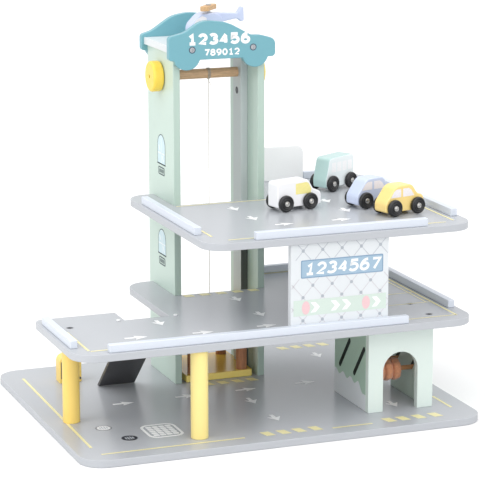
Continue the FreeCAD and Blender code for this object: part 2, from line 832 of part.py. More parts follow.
# Lift: floor and roof boards notched round the guide strips, on four round posts
lift_x0 = tower_middle_x - lift_width / 2
lift_x1 = tower_middle_x + lift_width / 2
lift_back = lift_front + lift_depth
notch_y0 = strip_front - lift_strip_gap
notch_y1 = strip_front + strip_width + lift_strip_gap
lift_outline = [
    (lift_x0, lift_front, lift_corner),
    (lift_x1, lift_front, lift_corner),
    (lift_x1, notch_y0, 0),
    (strip_right_x - lift_strip_gap, notch_y0, 0),
    (strip_right_x - lift_strip_gap, notch_y1, 0),
    (lift_x1, notch_y1, 0),
    (lift_x1, lift_back, lift_corner),
    (lift_x0, lift_back, lift_corner),
    (lift_x0, notch_y1, 0),
    (strip_left_x + lift_strip_gap, notch_y1, 0),
    (strip_left_x + lift_strip_gap, notch_y0, 0),
    (lift_x0, notch_y0, 0),
]
keep("lift_floor", flat_board(lift_outline, lift_bottom))
string_hole_top = string_foot + Vector(0, 0, 1)
string_hole = Part.makeCylinder(string_radius + string_hole_gap, board + 2, string_hole_top, down)
keep("lift_roof", flat_board(lift_outline, lift_roof_bottom).cut(string_hole))
posts = []
for side in (-1, 1):
    post_x = tower_middle_x + side * (lift_width / 2 - lift_post_inset)
    for post_y in (lift_front + lift_post_edge, lift_back - lift_post_edge):
        post_base = Vector(post_x, post_y, lift_floor_top)
        posts.append(Part.makeCylinder(lift_post_radius, lift_post_height, post_base))
keep("lift_posts", *posts)


# Vehicles: a sawn body on two axles, built at the origin facing +X and then parked
def sawn_body(profile, width):
    """Body with its side view given in X and Z, rounded along its edges."""
    face = outline_face(profile, lambda u, v: Vector(u, -width / 2, v))
    return rounded(face.extrude(Vector(0, width, 0)), vehicle_round)


def wheelset(axle_x):
    """Axle with a wheel at each end; its heads show as hub caps."""
    outer = vehicle_width / 2 + wheel_gap + wheel_width
    rim_z = wheel_radius
    axle_start = Vector(axle_x, -outer, rim_z)
    axle = Part.makeCylinder(axle_radius, 2 * outer, axle_start, away)
    solids = []
    for side in (-1, 1):
        wheel_start = Vector(axle_x, side * (vehicle_width / 2 + wheel_gap), rim_z)
        outward = Vector(0, side, 0)
        wheel = rounded(Part.makeCylinder(wheel_radius, wheel_width, wheel_start, outward), wheel_round)
        hole = Part.makeCylinder(axle_radius + still_fit, wheel_width, wheel_start, outward)
        solids.append(wheel.cut(hole))
        head_start = Vector(axle_x, side * (outer + still_fit), rim_z)
        axle_stub = Part.makeCylinder(axle_radius, still_fit, Vector(axle_x, side * outer, rim_z), outward)
        head = Part.makeCylinder(axle_head_radius, axle_head_height, head_start, outward)
        axle = axle.fuse(axle_stub).fuse(head)
    return [axle.removeSplitter()] + solids


def park(shape, x, y, heading):
    """The shape moved from the origin to its place on the upper deck."""
    spot = Placement(Vector(x, y, upper_top + parked_gap), Rotation(Vector(0, 0, 1), heading))
    return shape.transformed(spot.toMatrix())


axle_places = (wheel_base / 2, -wheel_base / 2)
van_profile = [
    (-28.5, vehicle_clearance, 3),
    (-28.5, 36.5, 4),
    (16.5, 38.0, 7),
    (24.0, 25.5, 6),
    (36.0, 20.5, 6),
    (36.0, vehicle_clearance, 3),
]
bus_profile = [
    (-28.0, vehicle_clearance, 3),
    (-28.0, 44.5, 7),
    (21.0, 43.5, 6),
    (28.5, 14.0, 12),
    (27.5, vehicle_clearance, 3),
]
coupe_profile = [
    (-30.0, vehicle_clearance, 4),
    (-30.0, 16.5, 10),
    (-14.0, 37.0, 13),
    (11.0, 37.5, 9),
    (20.0, 25.0, 7),
    (30.0, 22.0, 7),
    (30.0, vehicle_clearance, 4),
]
parked_vehicles = (
    ("white_van", van_profile, 177.8, -7.8, 11.0),
    ("mint_bus", bus_profile, 77.8, 94.4, 206.6),
    ("lavender_car", coupe_profile, 78.1, -24.1, 14.4),
    ("yellow_car", coupe_profile, 64.7, -81.0, 14.4),
)
for vehicle_name, profile, from_right, vehicle_y, heading in parked_vehicles:
    vehicle_x = half_length - from_right
    body = sawn_body(profile, vehicle_width)
    for axle_name, axle_x in zip(("front_wheels", "rear_wheels"), axle_places):
        bore_start = Vector(axle_x, -vehicle_width, wheel_radius)
        bore = Part.makeCylinder(axle_radius + running_fit, 2 * vehicle_width, bore_start, away)
        body = body.cut(bore)
        wheels = [park(solid, vehicle_x, vehicle_y, heading) for solid in wheelset(axle_x)]
        keep(vehicle_name + "_" + axle_name, *wheels)
    keep(vehicle_name + "_body", park(body, vehicle_x, vehicle_y, heading))


# Helicopter on the roof: a sawn cabin with a thinner tail boom, and a rotor bar on a pin
heli_z = roof_top + parked_gap
cabin_profile = [
    (-28.5, heli_z + 3, 3),
    (-28.5, heli_z + 19, 14),
    (-13.5, heli_z + 34, 14),
    (6.0, heli_z + 34, 6),
    (16.0, heli_z + 27, 8),
    (12.0, heli_z, 6),
    (-22.0, heli_z, 5),
]
tail_profile = [
    (12.0, heli_z + 33.5, 2),
    (37.0, heli_z + 32.0, 4),
    (42.5, heli_z + 40.0, 2),
    (46.0, heli_z + 39.0, 2),
    (46.5, heli_z + 21.5, 2),
    (42.0, heli_z + 21.0, 2),
    (37.0, heli_z + 25.0, 6),
    (14.0, heli_z + 21.0, 4),
    (0.0, heli_z + 16.0, 4),
    (0.0, heli_z + 33.5, 2),
]


def heli_shell(profile, width):
    """Part of the helicopter, sawn to its side view and rounded."""
    face = outline_face(profile, lambda u, v: Vector(heli_x + u, winch_y - width / 2, v))
    return rounded(face.extrude(Vector(0, width, 0)), vehicle_round)


cabin_top = heli_z + 34.0
rotor_z = cabin_top + rotor_rise
rotor_pin_x = heli_x + rotor_middle_offset
pin_top = rotor_z + 2 * rotor_gap + rotor_thickness
pin_foot = Vector(rotor_pin_x, winch_y, cabin_top - rotor_pin_depth)
pin_shaft = Part.makeCylinder(rotor_pin_radius, pin_top - pin_foot.z, pin_foot)
pin_head_base = Vector(rotor_pin_x, winch_y, pin_top)
pin_head = Part.makeCylinder(rotor_pin_head, axle_head_height, pin_head_base)
pin_room_depth = rotor_pin_depth + still_fit
pin_room = Part.makeCylinder(rotor_pin_radius + still_fit, pin_room_depth, pin_foot)
cabin = heli_shell(cabin_profile, heli_width)
tail = heli_shell(tail_profile, heli_boom_width)
keep("helicopter_body", cabin.fuse(tail).removeSplitter().cut(pin_room))
keep("helicopter_rotor_pin", pin_shaft.fuse(pin_head).removeSplitter())
rotor_half = rotor_length / 2
rotor_end = rotor_width / 2 - 0.2
rotor_outline = [
    (-rotor_half, -rotor_width / 2, rotor_end),
    (rotor_half, -rotor_width / 2, rotor_end),
    (rotor_half, rotor_width / 2, rotor_end),
    (-rotor_half, rotor_width / 2, rotor_end),
]
rotor_face = outline_face(rotor_outline, lambda u, v: Vector(u, v, 0))
rotor = rounded(rotor_face.extrude(Vector(0, 0, rotor_thickness)), edge_round)
rotor = rotor.cut(Part.makeCylinder(rotor_pin_radius + running_fit, rotor_thickness))
rotor_spot = Placement(
    Vector(rotor_pin_x, winch_y, rotor_z + rotor_gap), Rotation(Vector(0, 0, 1), rotor_angle)
)
keep("helicopter_rotor", rotor.transformed(rotor_spot.toMatrix()))


# One file per named piece
os.makedirs("parts", exist_ok=True)
for name, shape in nodes.items():
    shape.exportStep("parts/%s.step" % name)
print("%d pieces" % len(nodes))
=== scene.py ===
from math import cos, hypot, pi, radians, sin, tau

import bpy
from mathutils import Matrix, Quaternion, Vector


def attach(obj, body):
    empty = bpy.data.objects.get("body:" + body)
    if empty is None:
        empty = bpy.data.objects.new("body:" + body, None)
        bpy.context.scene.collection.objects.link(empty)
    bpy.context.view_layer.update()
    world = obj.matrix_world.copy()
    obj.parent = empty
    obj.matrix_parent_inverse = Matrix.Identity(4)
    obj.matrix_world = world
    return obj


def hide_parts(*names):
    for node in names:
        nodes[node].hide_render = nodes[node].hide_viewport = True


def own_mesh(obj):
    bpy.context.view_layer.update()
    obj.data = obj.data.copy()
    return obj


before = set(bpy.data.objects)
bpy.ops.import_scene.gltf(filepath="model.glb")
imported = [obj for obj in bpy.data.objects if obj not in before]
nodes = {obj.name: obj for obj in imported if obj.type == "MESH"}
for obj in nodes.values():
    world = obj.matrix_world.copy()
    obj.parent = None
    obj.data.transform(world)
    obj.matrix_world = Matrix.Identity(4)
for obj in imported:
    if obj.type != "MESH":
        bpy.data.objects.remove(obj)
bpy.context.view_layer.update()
mm = 0.001


# Base board: 9 mm fibreboard sawn with rounded corners, sprayed light grey in two satin coats.
# The spray leaves a fine stipple, and the sawn edges keep the lighter undercoat.
# Its lanes are printed on with thin matt ink.
class Signal:
    """What one shader socket gives out. Sums written with it add Math nodes."""

    def __init__(self, finish, socket):
        self.finish = finish
        self.socket = socket

    def math(self, operation, first, second):
        return self.finish.node("Math", {"operation": operation}, {0: first, 1: second})

    def __add__(self, other):
        return self.math("ADD", self, other)

    def __sub__(self, other):
        return self.math("SUBTRACT", self, other)

    def __rsub__(self, other):
        return self.math("SUBTRACT", other, self)

    def __mul__(self, other):
        return self.math("MULTIPLY", self, other)

    def __gt__(self, other):
        return self.math("GREATER_THAN", self, other)

    def __lt__(self, other):
        return self.math("LESS_THAN", self, other)

    def most(self, other):
        """The greater of two values."""
        return self.math("MAXIMUM", self, other)

    __radd__ = __add__
    __rmul__ = __mul__


class Finish:
    """A material, and the one method that adds its nodes."""

    def __init__(self, name, constants):
        self.material = bpy.data.materials.new(name)
        self.material.use_nodes = True
        self.tree = self.material.node_tree
        self.shader = self.tree.nodes["Principled BSDF"]
        for socket, value in constants.items():
            self.shader.inputs[socket].default_value = value
        self.place = self.node("TexCoord", {}, {}, "Object")

    def node(self, kind, settings, inputs, output=0):
        """Add a node: its settings first, then the values or links of its sockets."""
        added = self.tree.nodes.new("ShaderNode" + kind)
        for key, value in settings.items():
            if key == "stops":
                ramp = added.color_ramp
                ramp.elements[0].position, ramp.elements[0].color = value[0]
                ramp.elements[1].position, ramp.elements[1].color = value[-1]
                for position, colour in value[1:-1]:
                    ramp.elements.new(position).color = colour
            else:
                setattr(added, key, value)
        for key, value in inputs.items():
            self.feed(added.inputs[key], value)
        return Signal(self, added.outputs[output])

    def feed(self, socket, value):
        if isinstance(value, Signal):
            self.tree.links.new(value.socket, socket)
        else:
            socket.default_value = value

    def noise(self, scale, detail=2.0, place=None):
        """Soft cloud of values round a half, with so many waves to the metre."""
        spot = {"Vector": place or self.place, "Scale": scale, "Detail": detail}
        return self.node("TexNoise", {}, spot, "Fac")

    def blend(self, amount, first, second):
        """Colour between two others."""
        return self.node("Mix", {"data_type": "RGBA"}, {0: amount, 6: first, 7: second}, 2)

    def along(self, x, y, z):
        """The piece's own coordinates stretched by a factor in each direction."""
        return self.node("Mapping", {}, {"Vector": self.place, "Scale": (x, y, z)})

    def relief(self, height, depth, strength):
        """Bump of a real depth in metres."""
        inputs = {"Height": height, "Distance": depth, "Strength": strength}
        self.feed(self.shader.inputs["Normal"], self.node("Bump", {}, inputs))

    def use(self, **sockets):
        """Link what varies to the shader, by socket names with _ for spaces."""
        for name, value in sockets.items():
            self.feed(self.shader.inputs[name.replace("_", " ")], value)
        return self.material


def shade(red, green, blue):
    """A colour card's value, 0 to 255, in the linear light that a shader works in."""
    linear = [((value / 255 + 0.055) / 1.055) ** 2.4 for value in (red, green, blue)]
    return (*linear, 1.0)


def toned(card, share):
    """A colour card made darker or lighter."""
    return [min(value * share, 255) for value in card]


def satin_paint(name, card, gloss=0.26, drift=0.015, marks=(), shine=0.5):
    """Sprayed satin paint on board: slow drift in tone and a fine stipple.
    marks adds further colours: pairs of a card and a function that gives its mask."""
    finish = Finish(name, {"Specular IOR Level": shine})
    cloud = finish.noise(11.0)
    stipple = finish.noise(1100.0, 2.0)
    fibre = finish.noise(160.0, 3.0)
    amount = cloud * 0.7 + fibre * 0.15 + stipple * 0.15
    colour = finish.blend(amount, shade(*toned(card, 1 - drift)), shade(*toned(card, 1 + drift)))
    for mark_card, mask in marks:
        colour = finish.blend(mask(finish), colour, shade(*mark_card))
    finish.relief(stipple, 0.00004, 0.15)
    roughness = gloss - 0.02 + fibre * 0.03 + stipple * 0.02
    return finish.use(Base_Color=colour, Roughness=roughness)


def facing(finish, axis):
    """The piece's own surface direction along one axis."""
    normal = finish.node("TexCoord", {}, {}, "Normal")
    return finish.node("SeparateXYZ", {}, {0: normal}, axis)


def spot_along(finish, axis):
    """The place on the piece along one axis, in metres."""
    return finish.node("SeparateXYZ", {}, {0: finish.place}, axis)


def coat(material, *names):
    """Give CAD nodes their finish."""
    for name in names:
        mesh = nodes[name].data
        mesh.materials.clear()
        mesh.materials.append(material)


ink_film, ink_step = 0.12, 0.02


def stood(name, data):
    """Put a new object in the scene."""
    piece = bpy.data.objects.new(name, data)
    bpy.context.scene.collection.objects.link(piece)
    return piece


def mesh_piece(name, body, material, points, faces, smooth=True):
    """A new piece from its points in metres and its faces, moving with a body."""
    mesh = bpy.data.meshes.new(name)
    mesh.from_pydata(points, [], faces)
    mesh.materials.append(material)
    for polygon in mesh.polygons:
        polygon.use_smooth = smooth
    piece = stood(name, mesh)
    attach(piece, body)
    return piece


def printed_ink(name, card, gloss=0.34):
    """Screen-printed ink: even, with tiny pinholes of thinner colour."""
    finish = Finish(name, {"Specular IOR Level": 0.45})
    grain = finish.noise(1400.0, 2.0)
    cloud = finish.noise(40.0)
    amount = grain * 0.6 + cloud * 0.4
    colour = finish.blend(amount, shade(*toned(card, 0.95)), shade(*toned(card, 1.04)))
    finish.relief(grain, 0.00005, 0.15)
    return finish.use(Base_Color=colour, Roughness=gloss + grain * 0.06)


def print_on(name, body, material, shapes, lay):
    """Thin layer of ink: flat outlines in millimetres, put on a surface by lay(u, v)."""
    points = []
    faces = []
    for outline in shapes:
        start = len(points)
        points += [lay(u, v) for u, v in outline]
        faces.append(list(range(start, len(points))))
    mesh_piece(name, body, material, points, faces, smooth=False)


def on_top(height):
    """Lay a print on a level surface of that height."""
    return lambda u, v: Vector((u, v, height + ink_film)) * mm


def bar(u0, v0, u1, v1, width):
    """Straight printed line between two points."""
    run = hypot(u1 - u0, v1 - v0)
    du = (v0 - v1) / run * width / 2
    dv = (u1 - u0) / run * width / 2
    return [(u0 - du, v0 - dv), (u1 - du, v1 - dv), (u1 + du, v1 + dv), (u0 + du, v0 + dv)]


def arrow(u0, v0, u1, v1, shaft=5.0, head=17.0, barb=2):
    """Lane arrow from its tail to its tip, its wings swept back by barb."""
    run = hypot(u1 - u0, v1 - v0)
    au, av = (u1 - u0) / run, (v1 - v0) / run
    head_length = head * 0.85
    neck_u, neck_v = u1 - au * head_length, v1 - av * head_length
    sides = []
    for side in (-1, 1):
        half = side * shaft / 2
        wing = side * head / 2
        sides.append([
            (u0 - av * half, v0 + au * half),
            (neck_u - av * half, neck_v + au * half),
            (neck_u - av * wing - au * barb, neck_v + au * wing - av * barb),
        ])
    return sides[0] + [(u1, v1)] + sides[1][::-1]


def round_box(u0, v0, u1, v1, radius, steps=6):
    """Outline of a box with rounded corners."""
    points = []
    corners = ((u1 - radius, v1 - radius), (u0 + radius, v1 - radius),
               (u0 + radius, v0 + radius), (u1 - radius, v0 + radius))
    for quarter, (u, v) in enumerate(corners):
        for step in range(steps + 1):
            turn = (quarter + step / steps) * pi / 2
            points.append((u + radius * cos(turn), v + radius * sin(turn)))
    return points


def frame_of(outer, inner):
    """Closed band between two outlines with the same number of points."""
    count = len(outer)
    return [[outer[i], outer[(i + 1) % count], inner[(i + 1) % count], inner[i]] for i in range(count)]


def disc(u, v, radius, steps=40):
    """Outline of a round spot."""
    return [(u + radius * cos(tau * i / steps), v + radius * sin(tau * i / steps)) for i in range(steps)]


def edge_undercoat_and_painted_light(finish):
    """Mask of a lying board's edges and underside. On the decks they keep the lighter undercoat;
    on the lift boards the top is painted darker than these edges as painted shade.
    """
    return facing(finish, "Z") < 0.6


base_top = 9.0
deck_marks = [((187, 190, 195), edge_undercoat_and_painted_light)]
deck_grey = satin_paint("deck_grey_paint", (182, 185, 190), 0.25, marks=deck_marks, shine=0.32)
coat(deck_grey, "base_board")
lane_white = printed_ink("lane_white_ink", (253, 254, 255))
lane_yellow = printed_ink("lane_yellow_ink", (238, 229, 172))
# The dark cover ink also prints a ring of painted shade round a guide strip screw.
cover_print_and_screw_shade = printed_ink("cover_print_and_screw_shade_ink", (34, 36, 44))
cover_grey = printed_ink("cover_grey_ink", (190, 194, 200))


def dash_row(middles, low, high, width=11.5, skew=2.0):
    """Row of broad dashes across a lane."""
    row = []
    for middle in middles:
        left, right = middle - width / 2, middle + width / 2
        row.append([(left + skew, low), (right + skew, low), (right - skew, high), (left - skew, high)])
    return row


base_yellow = [
    bar(-229.0, 160.0, -232.5, -151.0, 3.6),
    bar(-228.7, -178.5, -51.2, -178.5, 3.4),
    bar(60.6, -180.2, 113.0, -180.2, 3.4),
    bar(231.0, 150.0, 231.0, 20.0, 3.6),
    bar(230.5, -102.5, 231.5, -154.0, 3.6),
    *dash_row((-20.5, 0.0, 20.0, 41.0), -181.5, -165.5),
    *dash_row((137.5, 156.0, 177.0, 199.0), -182.5, -166.5),
    *dash_row((-14.0, 6.0, 26.0, 46.0), 44.0, 57.0),
    *dash_row((139.5, 159.0, 178.5, 198.0), 170.0, 184.0),
]
base_arrows = [
    arrow(-155.8, 7.3, -128.1, 7.0),
    arrow(-73.0, 9.0, -45.0, 10.0),
    arrow(8.0, 10.0, 36.3, 10.6),
    arrow(91.0, 13.0, 118.0, 12.6),
    arrow(10.5, -25.5, 11.5, -52.0),
    arrow(11.0, -103.0, 12.0, -129.0),
    arrow(169.6, -101.5, 170.4, -127.0),
    arrow(170.0, 142.0, 170.0, 117.0),
    arrow(-190.0, 62.0, -190.0, 88.0),
]
plate_outer = round_box(-155.6, -142.5, -111.6, -89.5, 12)
plate_inner = round_box(-152.2, -138.5, -115.0, -93.5, 9)
grate = frame_of(plate_outer, plate_inner)
grate_rows, grate_columns = 5, 4
tread_wide, tread_deep, tread_gap, tread_corner = 7.2, 6.8, (0.9, 1.0), 1.8
for row in range(grate_rows):
    for column in range(grate_columns):
        tread_u = -149.0 + column * (tread_wide + tread_gap[0])
        tread_v = -134.8 + row * (tread_deep + tread_gap[1])
        tread = round_box(tread_u, tread_v, tread_u + tread_wide, tread_v + tread_deep, tread_corner, 3)
        grate.append(tread)
print_on("base_yellow_lines", "garage", lane_yellow, base_yellow, on_top(base_top))
print_on("base_white_arrows", "garage", lane_white, base_arrows + grate, on_top(base_top))
cover_rings = []
cover_grids = []
for cover_u, cover_v, rim in ((-195.9, -82.0, 1.3), (-178.9, -130.6, 2.4)):
    cover_rings += frame_of(disc(cover_u, cover_v, 9.8), disc(cover_u, cover_v, 9.8 - rim))
    for grid_step in (-4.4, -1.5, 1.5, 4.4):
        reach = (5.9 ** 2 - grid_step ** 2) ** 0.5
        grid_u = cover_u + grid_step
        cover_grids.append(bar(grid_u, cover_v - reach, grid_u, cover_v + reach, 1.7))
left_cover = disc(-195.9, -82.0, 8.5)
right_cover = disc(-178.9, -130.6, 7.4)
print_on("manhole_rings", "garage", cover_print_and_screw_shade, cover_rings + [right_cover], on_top(base_top + ink_step))
print_on("manhole_bars", "garage", cover_grey, cover_grids, on_top(base_top + 2 * ink_step))
print_on("manhole_light_face", "garage", lane_white, [left_cover], on_top(base_top))


# Columns: two 21 mm dowels under the middle deck, at its left and at its front, dipped in
# yellow paint; the front one has a paler copy of that yellow as painted light. Each is held by a
# countersunk screw from above and one through the base board.
yellow_paint = satin_paint("column_yellow_paint", (252, 217, 118), 0.3)
# Painted light: the front column is a paler copy of the same yellow.
front_column_lit_yellow = satin_paint("front_column_lit_yellow_paint", (252, 231, 150), 0.3)
coat(yellow_paint, "left_column")
coat(front_column_lit_yellow, "front_column")


def metal(name, card, gloss, scratch=900.0):
    """Plain metal with fine turning marks."""
    finish = Finish(name, {"Metallic": 1.0})
    marks = finish.noise(scratch, 3.0)
    cloud = finish.noise(300.0)
    colour = finish.blend(cloud, shade(*toned(card, 0.88)), shade(*card))
    finish.relief(marks, 0.00003, 0.2)
    return finish.use(Base_Color=colour, Roughness=gloss + cloud * 0.12)


steel = metal("zinc_steel", (190, 192, 196), 0.28)
dark_steel = metal("dark_steel", (96, 98, 104), 0.34)
coat(dark_steel, "board_screws")


# Tower: two side boards stand on the base in mint paint, each with a grey guide strip
# glued and pinned to its inner face. The strips steer the lift and steady the winch.
# The left board has printed windows with a thin dark outline and a small plate below each.
tower_left = -53.65


def front_edge_painted_shade(finish):
    """Mask of the side boards' narrow front edges, painted darker than their faces as painted shade."""
    return facing(finish, "Y") < -0.6


# The boards' front edges get a darker mint as painted shade.
mint_paint = satin_paint("mint_paint", (199, 218, 207), 0.3, marks=[((182, 202, 191), front_edge_painted_shade)])


def strip_front_painted_shade(finish):
    """Mask of a guide strip's front edge below the upper deck, painted near-black as painted shade."""
    shade_below = 0.2342
    height = spot_along(finish, "Z")
    return (height < shade_below) * (facing(finish, "Y") < -0.6)


# Below the upper deck the strips' front edges are painted near-black as painted shade.
strip_paint = satin_paint("guide_strip_paint", (196, 203, 203), 0.32, marks=[((84, 88, 84), strip_front_painted_shade)])
coat(mint_paint, "tower_left_panel", "tower_right_panel")
coat(strip_paint, "left_guide_strip", "right_guide_strip")
outline_ink = printed_ink("outline_dark_ink", (56, 78, 84))
glass_ink = printed_ink("window_blue_ink", (206, 230, 236), 0.28)
glint_ink = printed_ink("window_glint_ink", (240, 248, 250), 0.28)


def on_left_board(y, z):
    """Lay a print on the tower's left face."""
    return Vector((tower_left - ink_film, y, z)) * mm


def arched(v0, w0, v1, w1, steps=16):
    """Outline of a window with a round top: its sides, foot and the top of its arch."""
    middle = (v0 + v1) / 2
    radius = (v1 - v0) / 2
    spring = w1 - radius
    turns = [pi * i / steps for i in range(steps + 1)]
    top = [(middle + radius * cos(turn), spring + radius * sin(turn)) for turn in turns]
    return [(v0, w0), (v1, w0)] + top


def grown(v0, w0, v1, w1, by):
    """The same window, larger all round."""
    return arched(v0 - by, w0 - by, v1 + by, w1 + by)


panes = []
pane_lines = []
pane_glints = []
near, far, glint_width = 98, 126, 1.3
middle = (near + far) / 2
for foot, head in ((288.5, 325.0), (170.6, 202.0)):
    pane = arched(near, foot, far, head)
    panes.append(pane)
    pane_lines += frame_of(grown(near, foot, far, head, 1.2), pane)
    pane_lines.append(bar(near - 2, foot - 0.9, far + 2, foot - 0.9, 1.4))
    pane_glints.append(bar(middle, foot, middle, head, glint_width))
    pane_glints.append(bar(near, foot + 13, far, foot + 13, glint_width))
    pane_glints.append([(102, foot + 3), (105, foot + 3), (110, foot + 10.5), (107, foot + 10.5)])
    pane_glints.append([(116, foot + 17), (119, foot + 17), (123, foot + 23), (120, foot + 23)])
    plate_low = foot - 15.0
    plate = round_box(near + 2, plate_low, far - 2, plate_low + 10.5, 2.0, 4)
    pane_lines += frame_of(plate, round_box(near + 3.6, plate_low + 1.6, far - 3.6, plate_low + 8.9, 1.2, 4))
    for mark in range(4):
        mark_v = 105.4 + mark * 4.4
        pane_lines.append(bar(mark_v, plate_low + 2.9, mark_v, plate_low + 7.6, 3.0))
print_on("tower_window_panes", "garage", glass_ink, panes, on_left_board)
print_on("tower_window_outlines", "garage", outline_ink, pane_lines,
         lambda y, z: on_left_board(y, z) - Vector((2 * ink_step * mm, 0, 0)))
print_on("tower_window_glints", "garage", glint_ink, pane_glints,
         lambda y, z: on_left_board(y, z) - Vector((ink_step * mm, 0, 0)))


# Wash tunnel: an arched front board and two side boards with slanted slots, in the same mint.
# The front board has a paler copy of that mint as painted light.
# The left side is painted darker green above a wavy water line.
# Two felt rollers lie loose in the slots and turn as a car passes under them.
def water_line(finish):
    """Mask of the area above a wavy edge on faces that look left. The edge falls off in front."""
    waves, swell, level = 270.0, 0.0026, 0.0395
    bank, slope = 0.112, 0.6
    depth = spot_along(finish, "Y")
    height = spot_along(finish, "Z")
    wave = finish.node("Math", {"operation": "SINE"}, {0: depth * waves})
    fall = (depth * -1.0 - bank).most(0.0)
    return (height > wave * swell - fall * slope + level) * (facing(finish, "X") < -0.5)


def slot_painted_shade(finish):
    """Mask of the slots' sawn sides, painted dark as painted shade in the slots: they face along the wall,
    inside its outline.
    """
    depth = spot_along(finish, "Y")
    height = spot_along(finish, "Z")
    across = facing(finish, "X")
    nearest, lowest, highest = -0.038, 0.02, 0.1164
    within = (depth < nearest) * (height > lowest) * (height < highest)
    return (across > -0.5) * (across < 0.5) * within


water_mark = ((176, 204, 186), water_line)
# Painted shade: the slots' sides are coloured dark in both side walls.
slot_shade_mark = ((62, 74, 68), slot_painted_shade)
wash_paint = satin_paint("wash_side_paint", (228, 233, 236), 0.3, marks=[water_mark, slot_shade_mark])
wash_plain = satin_paint("wash_plain_paint", (203, 222, 208), 0.3, marks=[slot_shade_mark])
# Painted light: the front board is a paler mint than the side boards.
wash_front_painted_light = satin_paint("wash_front_painted_light", (224, 236, 230), 0.3)
coat(wash_front_painted_light, "wash_front_arch")
coat(wash_paint, "wash_left_wall")
coat(wash_plain, "wash_right_wall")


def wood(name, card, streaks, gloss=0.42):
    """Oiled beech: long streaks and short dark flecks; streaks gives the stretch in X, Y and Z."""
    finish = Finish(name, {"Specular IOR Level": 0.4})
    run = finish.along(*streaks)
    grain = finish.noise(1.0, 4.0, run)
    fleck = finish.noise(3.2, 2.0, run)
    colour = finish.blend(grain, shade(*toned(card, 0.72)), shade(*toned(card, 1.12)))
    spots = finish.node("ValToRGB", {"stops": [(0.62, (0, 0, 0, 1)), (0.7, (1, 1, 1, 1))]}, {0: fleck})
    colour = finish.blend(spots * 0.35, colour, shade(*toned(card, 0.55)))
    finish.relief(grain * 0.7 + fleck * 0.3, 0.00015, 0.35)
    return finish.use(Base_Color=colour, Roughness=gloss + grain * 0.15)


dowel_wood = wood("dowel_wood", (196, 142, 98), (60, 700, 700))
coat(dowel_wood, "front_wash_dowel", "rear_wash_dowel")


def felt(name, card):
    """Pressed wool felt: tangled fibres, no shine."""
    finish = Finish(name, {"Specular IOR Level": 0.2, "Sheen Weight": 0.5, "Sheen Roughness": 0.5})
    tangle = finish.noise(1300.0, 5.0)
    tuft = finish.noise(260.0, 3.0)
    amount = tangle * 0.6 + tuft * 0.4
    colour = finish.blend(amount, shade(*toned(card, 0.7)), shade(*toned(card, 1.2)))
    finish.relief(tangle * 0.6 + tuft * 0.4, 0.0006, 0.6)
    return finish.use(Base_Color=colour, Roughness=0.88 + tangle * 0.1)


brush_felt = felt("terracotta_felt", (216, 148, 112))


def skin(rings, closed_ends=True):
    """Points and faces of a tube through rings of equal size, its ends flat or left open."""
    count = len(rings[0])
    points = [point for ring in rings for point in ring]
    faces = []
    for level in range(len(rings) - 1):
        for i in range(count):
            j = (i + 1) % count
            low, high = level * count, (level + 1) * count
            faces.append([low + i, low + j, high + j, high + i])
    if closed_ends:
        faces.append(list(range(count))[::-1])
        faces.append([(len(rings) - 1) * count + i for i in range(count)])
    return points, faces


def join(points, faces, part):
    """Add another part's points and faces to those of a mesh."""
    start = len(points)
    points += part[0]
    faces += [[start + corner for corner in face] for face in part[1]]


brush_profile = (
    (0.0, 6.0), (0.3, 11.2), (1.2, 13.2), (2.8, 14.0), (5.6, 14.2), (8.4, 14.0), (10.2, 13.0), (11.2, 11.0),
    (11.6, 9.6),
)
brush_start, brush_end, brush_z = 151.4, 184.1, 49.5
brush_hole, brush_sides = 6, 64
brush_lobes, lobe_depth, brush_twist, brush_trim = 9, 0.06, 0.006, 0.2
tufts, tuft_length, tuft_squeeze = 3, 11.6, 0.935
for place, low_y in (("front", -98.5), ("rear", -54.0)):
    rings = []
    for tuft in range(tufts):
        for along, radius in brush_profile[1 if tuft else 0:]:
            x = brush_start + (tuft * tuft_length + along) * tuft_squeeze
            ring = []
            for i in range(brush_sides):
                turn = tau * i / brush_sides + x * brush_twist
                lobes = 1 - lobe_depth * (0.5 + 0.5 * cos(brush_lobes * turn)) ** 2
                reach = (radius - brush_trim) * lobes
                ring.append(Vector((x, low_y + reach * cos(turn), brush_z + reach * sin(turn))) * mm)
            rings.append(ring)
    last_ring = []
    for i in range(brush_sides):
        turn = tau * i / brush_sides
        y, z = low_y + brush_hole * cos(turn), brush_z + brush_hole * sin(turn)
        last_ring.append(Vector((brush_end, y, z)) * mm)
    rings.append(last_ring)
    brush = mesh_piece(place + "_felt_brush", place + "_brush", brush_felt, *skin(rings))
    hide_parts(place + "_wash_brush")


# Petrol pump: a solid block with rounded shoulders, painted the columns' yellow.
# A hose line, a dial with plain marks and a nozzle spot are printed on its front.
coat(yellow_paint, "petrol_pump")
pump_ink = printed_ink("pump_dark_ink", (84, 80, 78))
pump_pale = printed_ink("pump_pale_ink", (238, 240, 242))


pump_front = 120.0


def on_pump(x, z):
    """Lay a print on the pump's front face."""
    return Vector((x, pump_front - ink_film, z)) * mm


dial_x, dial_z = -176.5, 31.5
dial = frame_of(disc(dial_x, dial_z, 7.4), disc(dial_x, dial_z, 6.5))
dial.append(bar(dial_x, dial_z, dial_x + 3.4, dial_z + 3.8, 1.1))
for tick in range(7):
    way_u, way_v = cos(radians(tick * 30)), sin(radians(tick * 30))
    tick_start = (dial_x + 4.4 * way_u, dial_z + 4.4 * way_v)
    tick_end = (dial_x + 5.8 * way_u, dial_z + 5.8 * way_v)
    dial.append(bar(*tick_start, *tick_end, 0.8))
hose_x, hose_foot = -188.6, 15.0
hose = [bar(hose_x, hose_foot, hose_x, 37, 1.3), bar(hose_x, hose_foot + 0.6, -183.0, hose_foot + 0.6, 1.3)]
nozzle = disc(-164.6, 14, 1.9, 24)
print_on("pump_dial_face", "garage", pump_pale, [disc(dial_x, dial_z, 6.5)], on_pump)
print_on("pump_lines", "garage", pump_ink, dial + hose + [nozzle],
         lambda x, z: on_pump(x, z) - Vector((0, 1.5 * ink_step * mm, 0)))


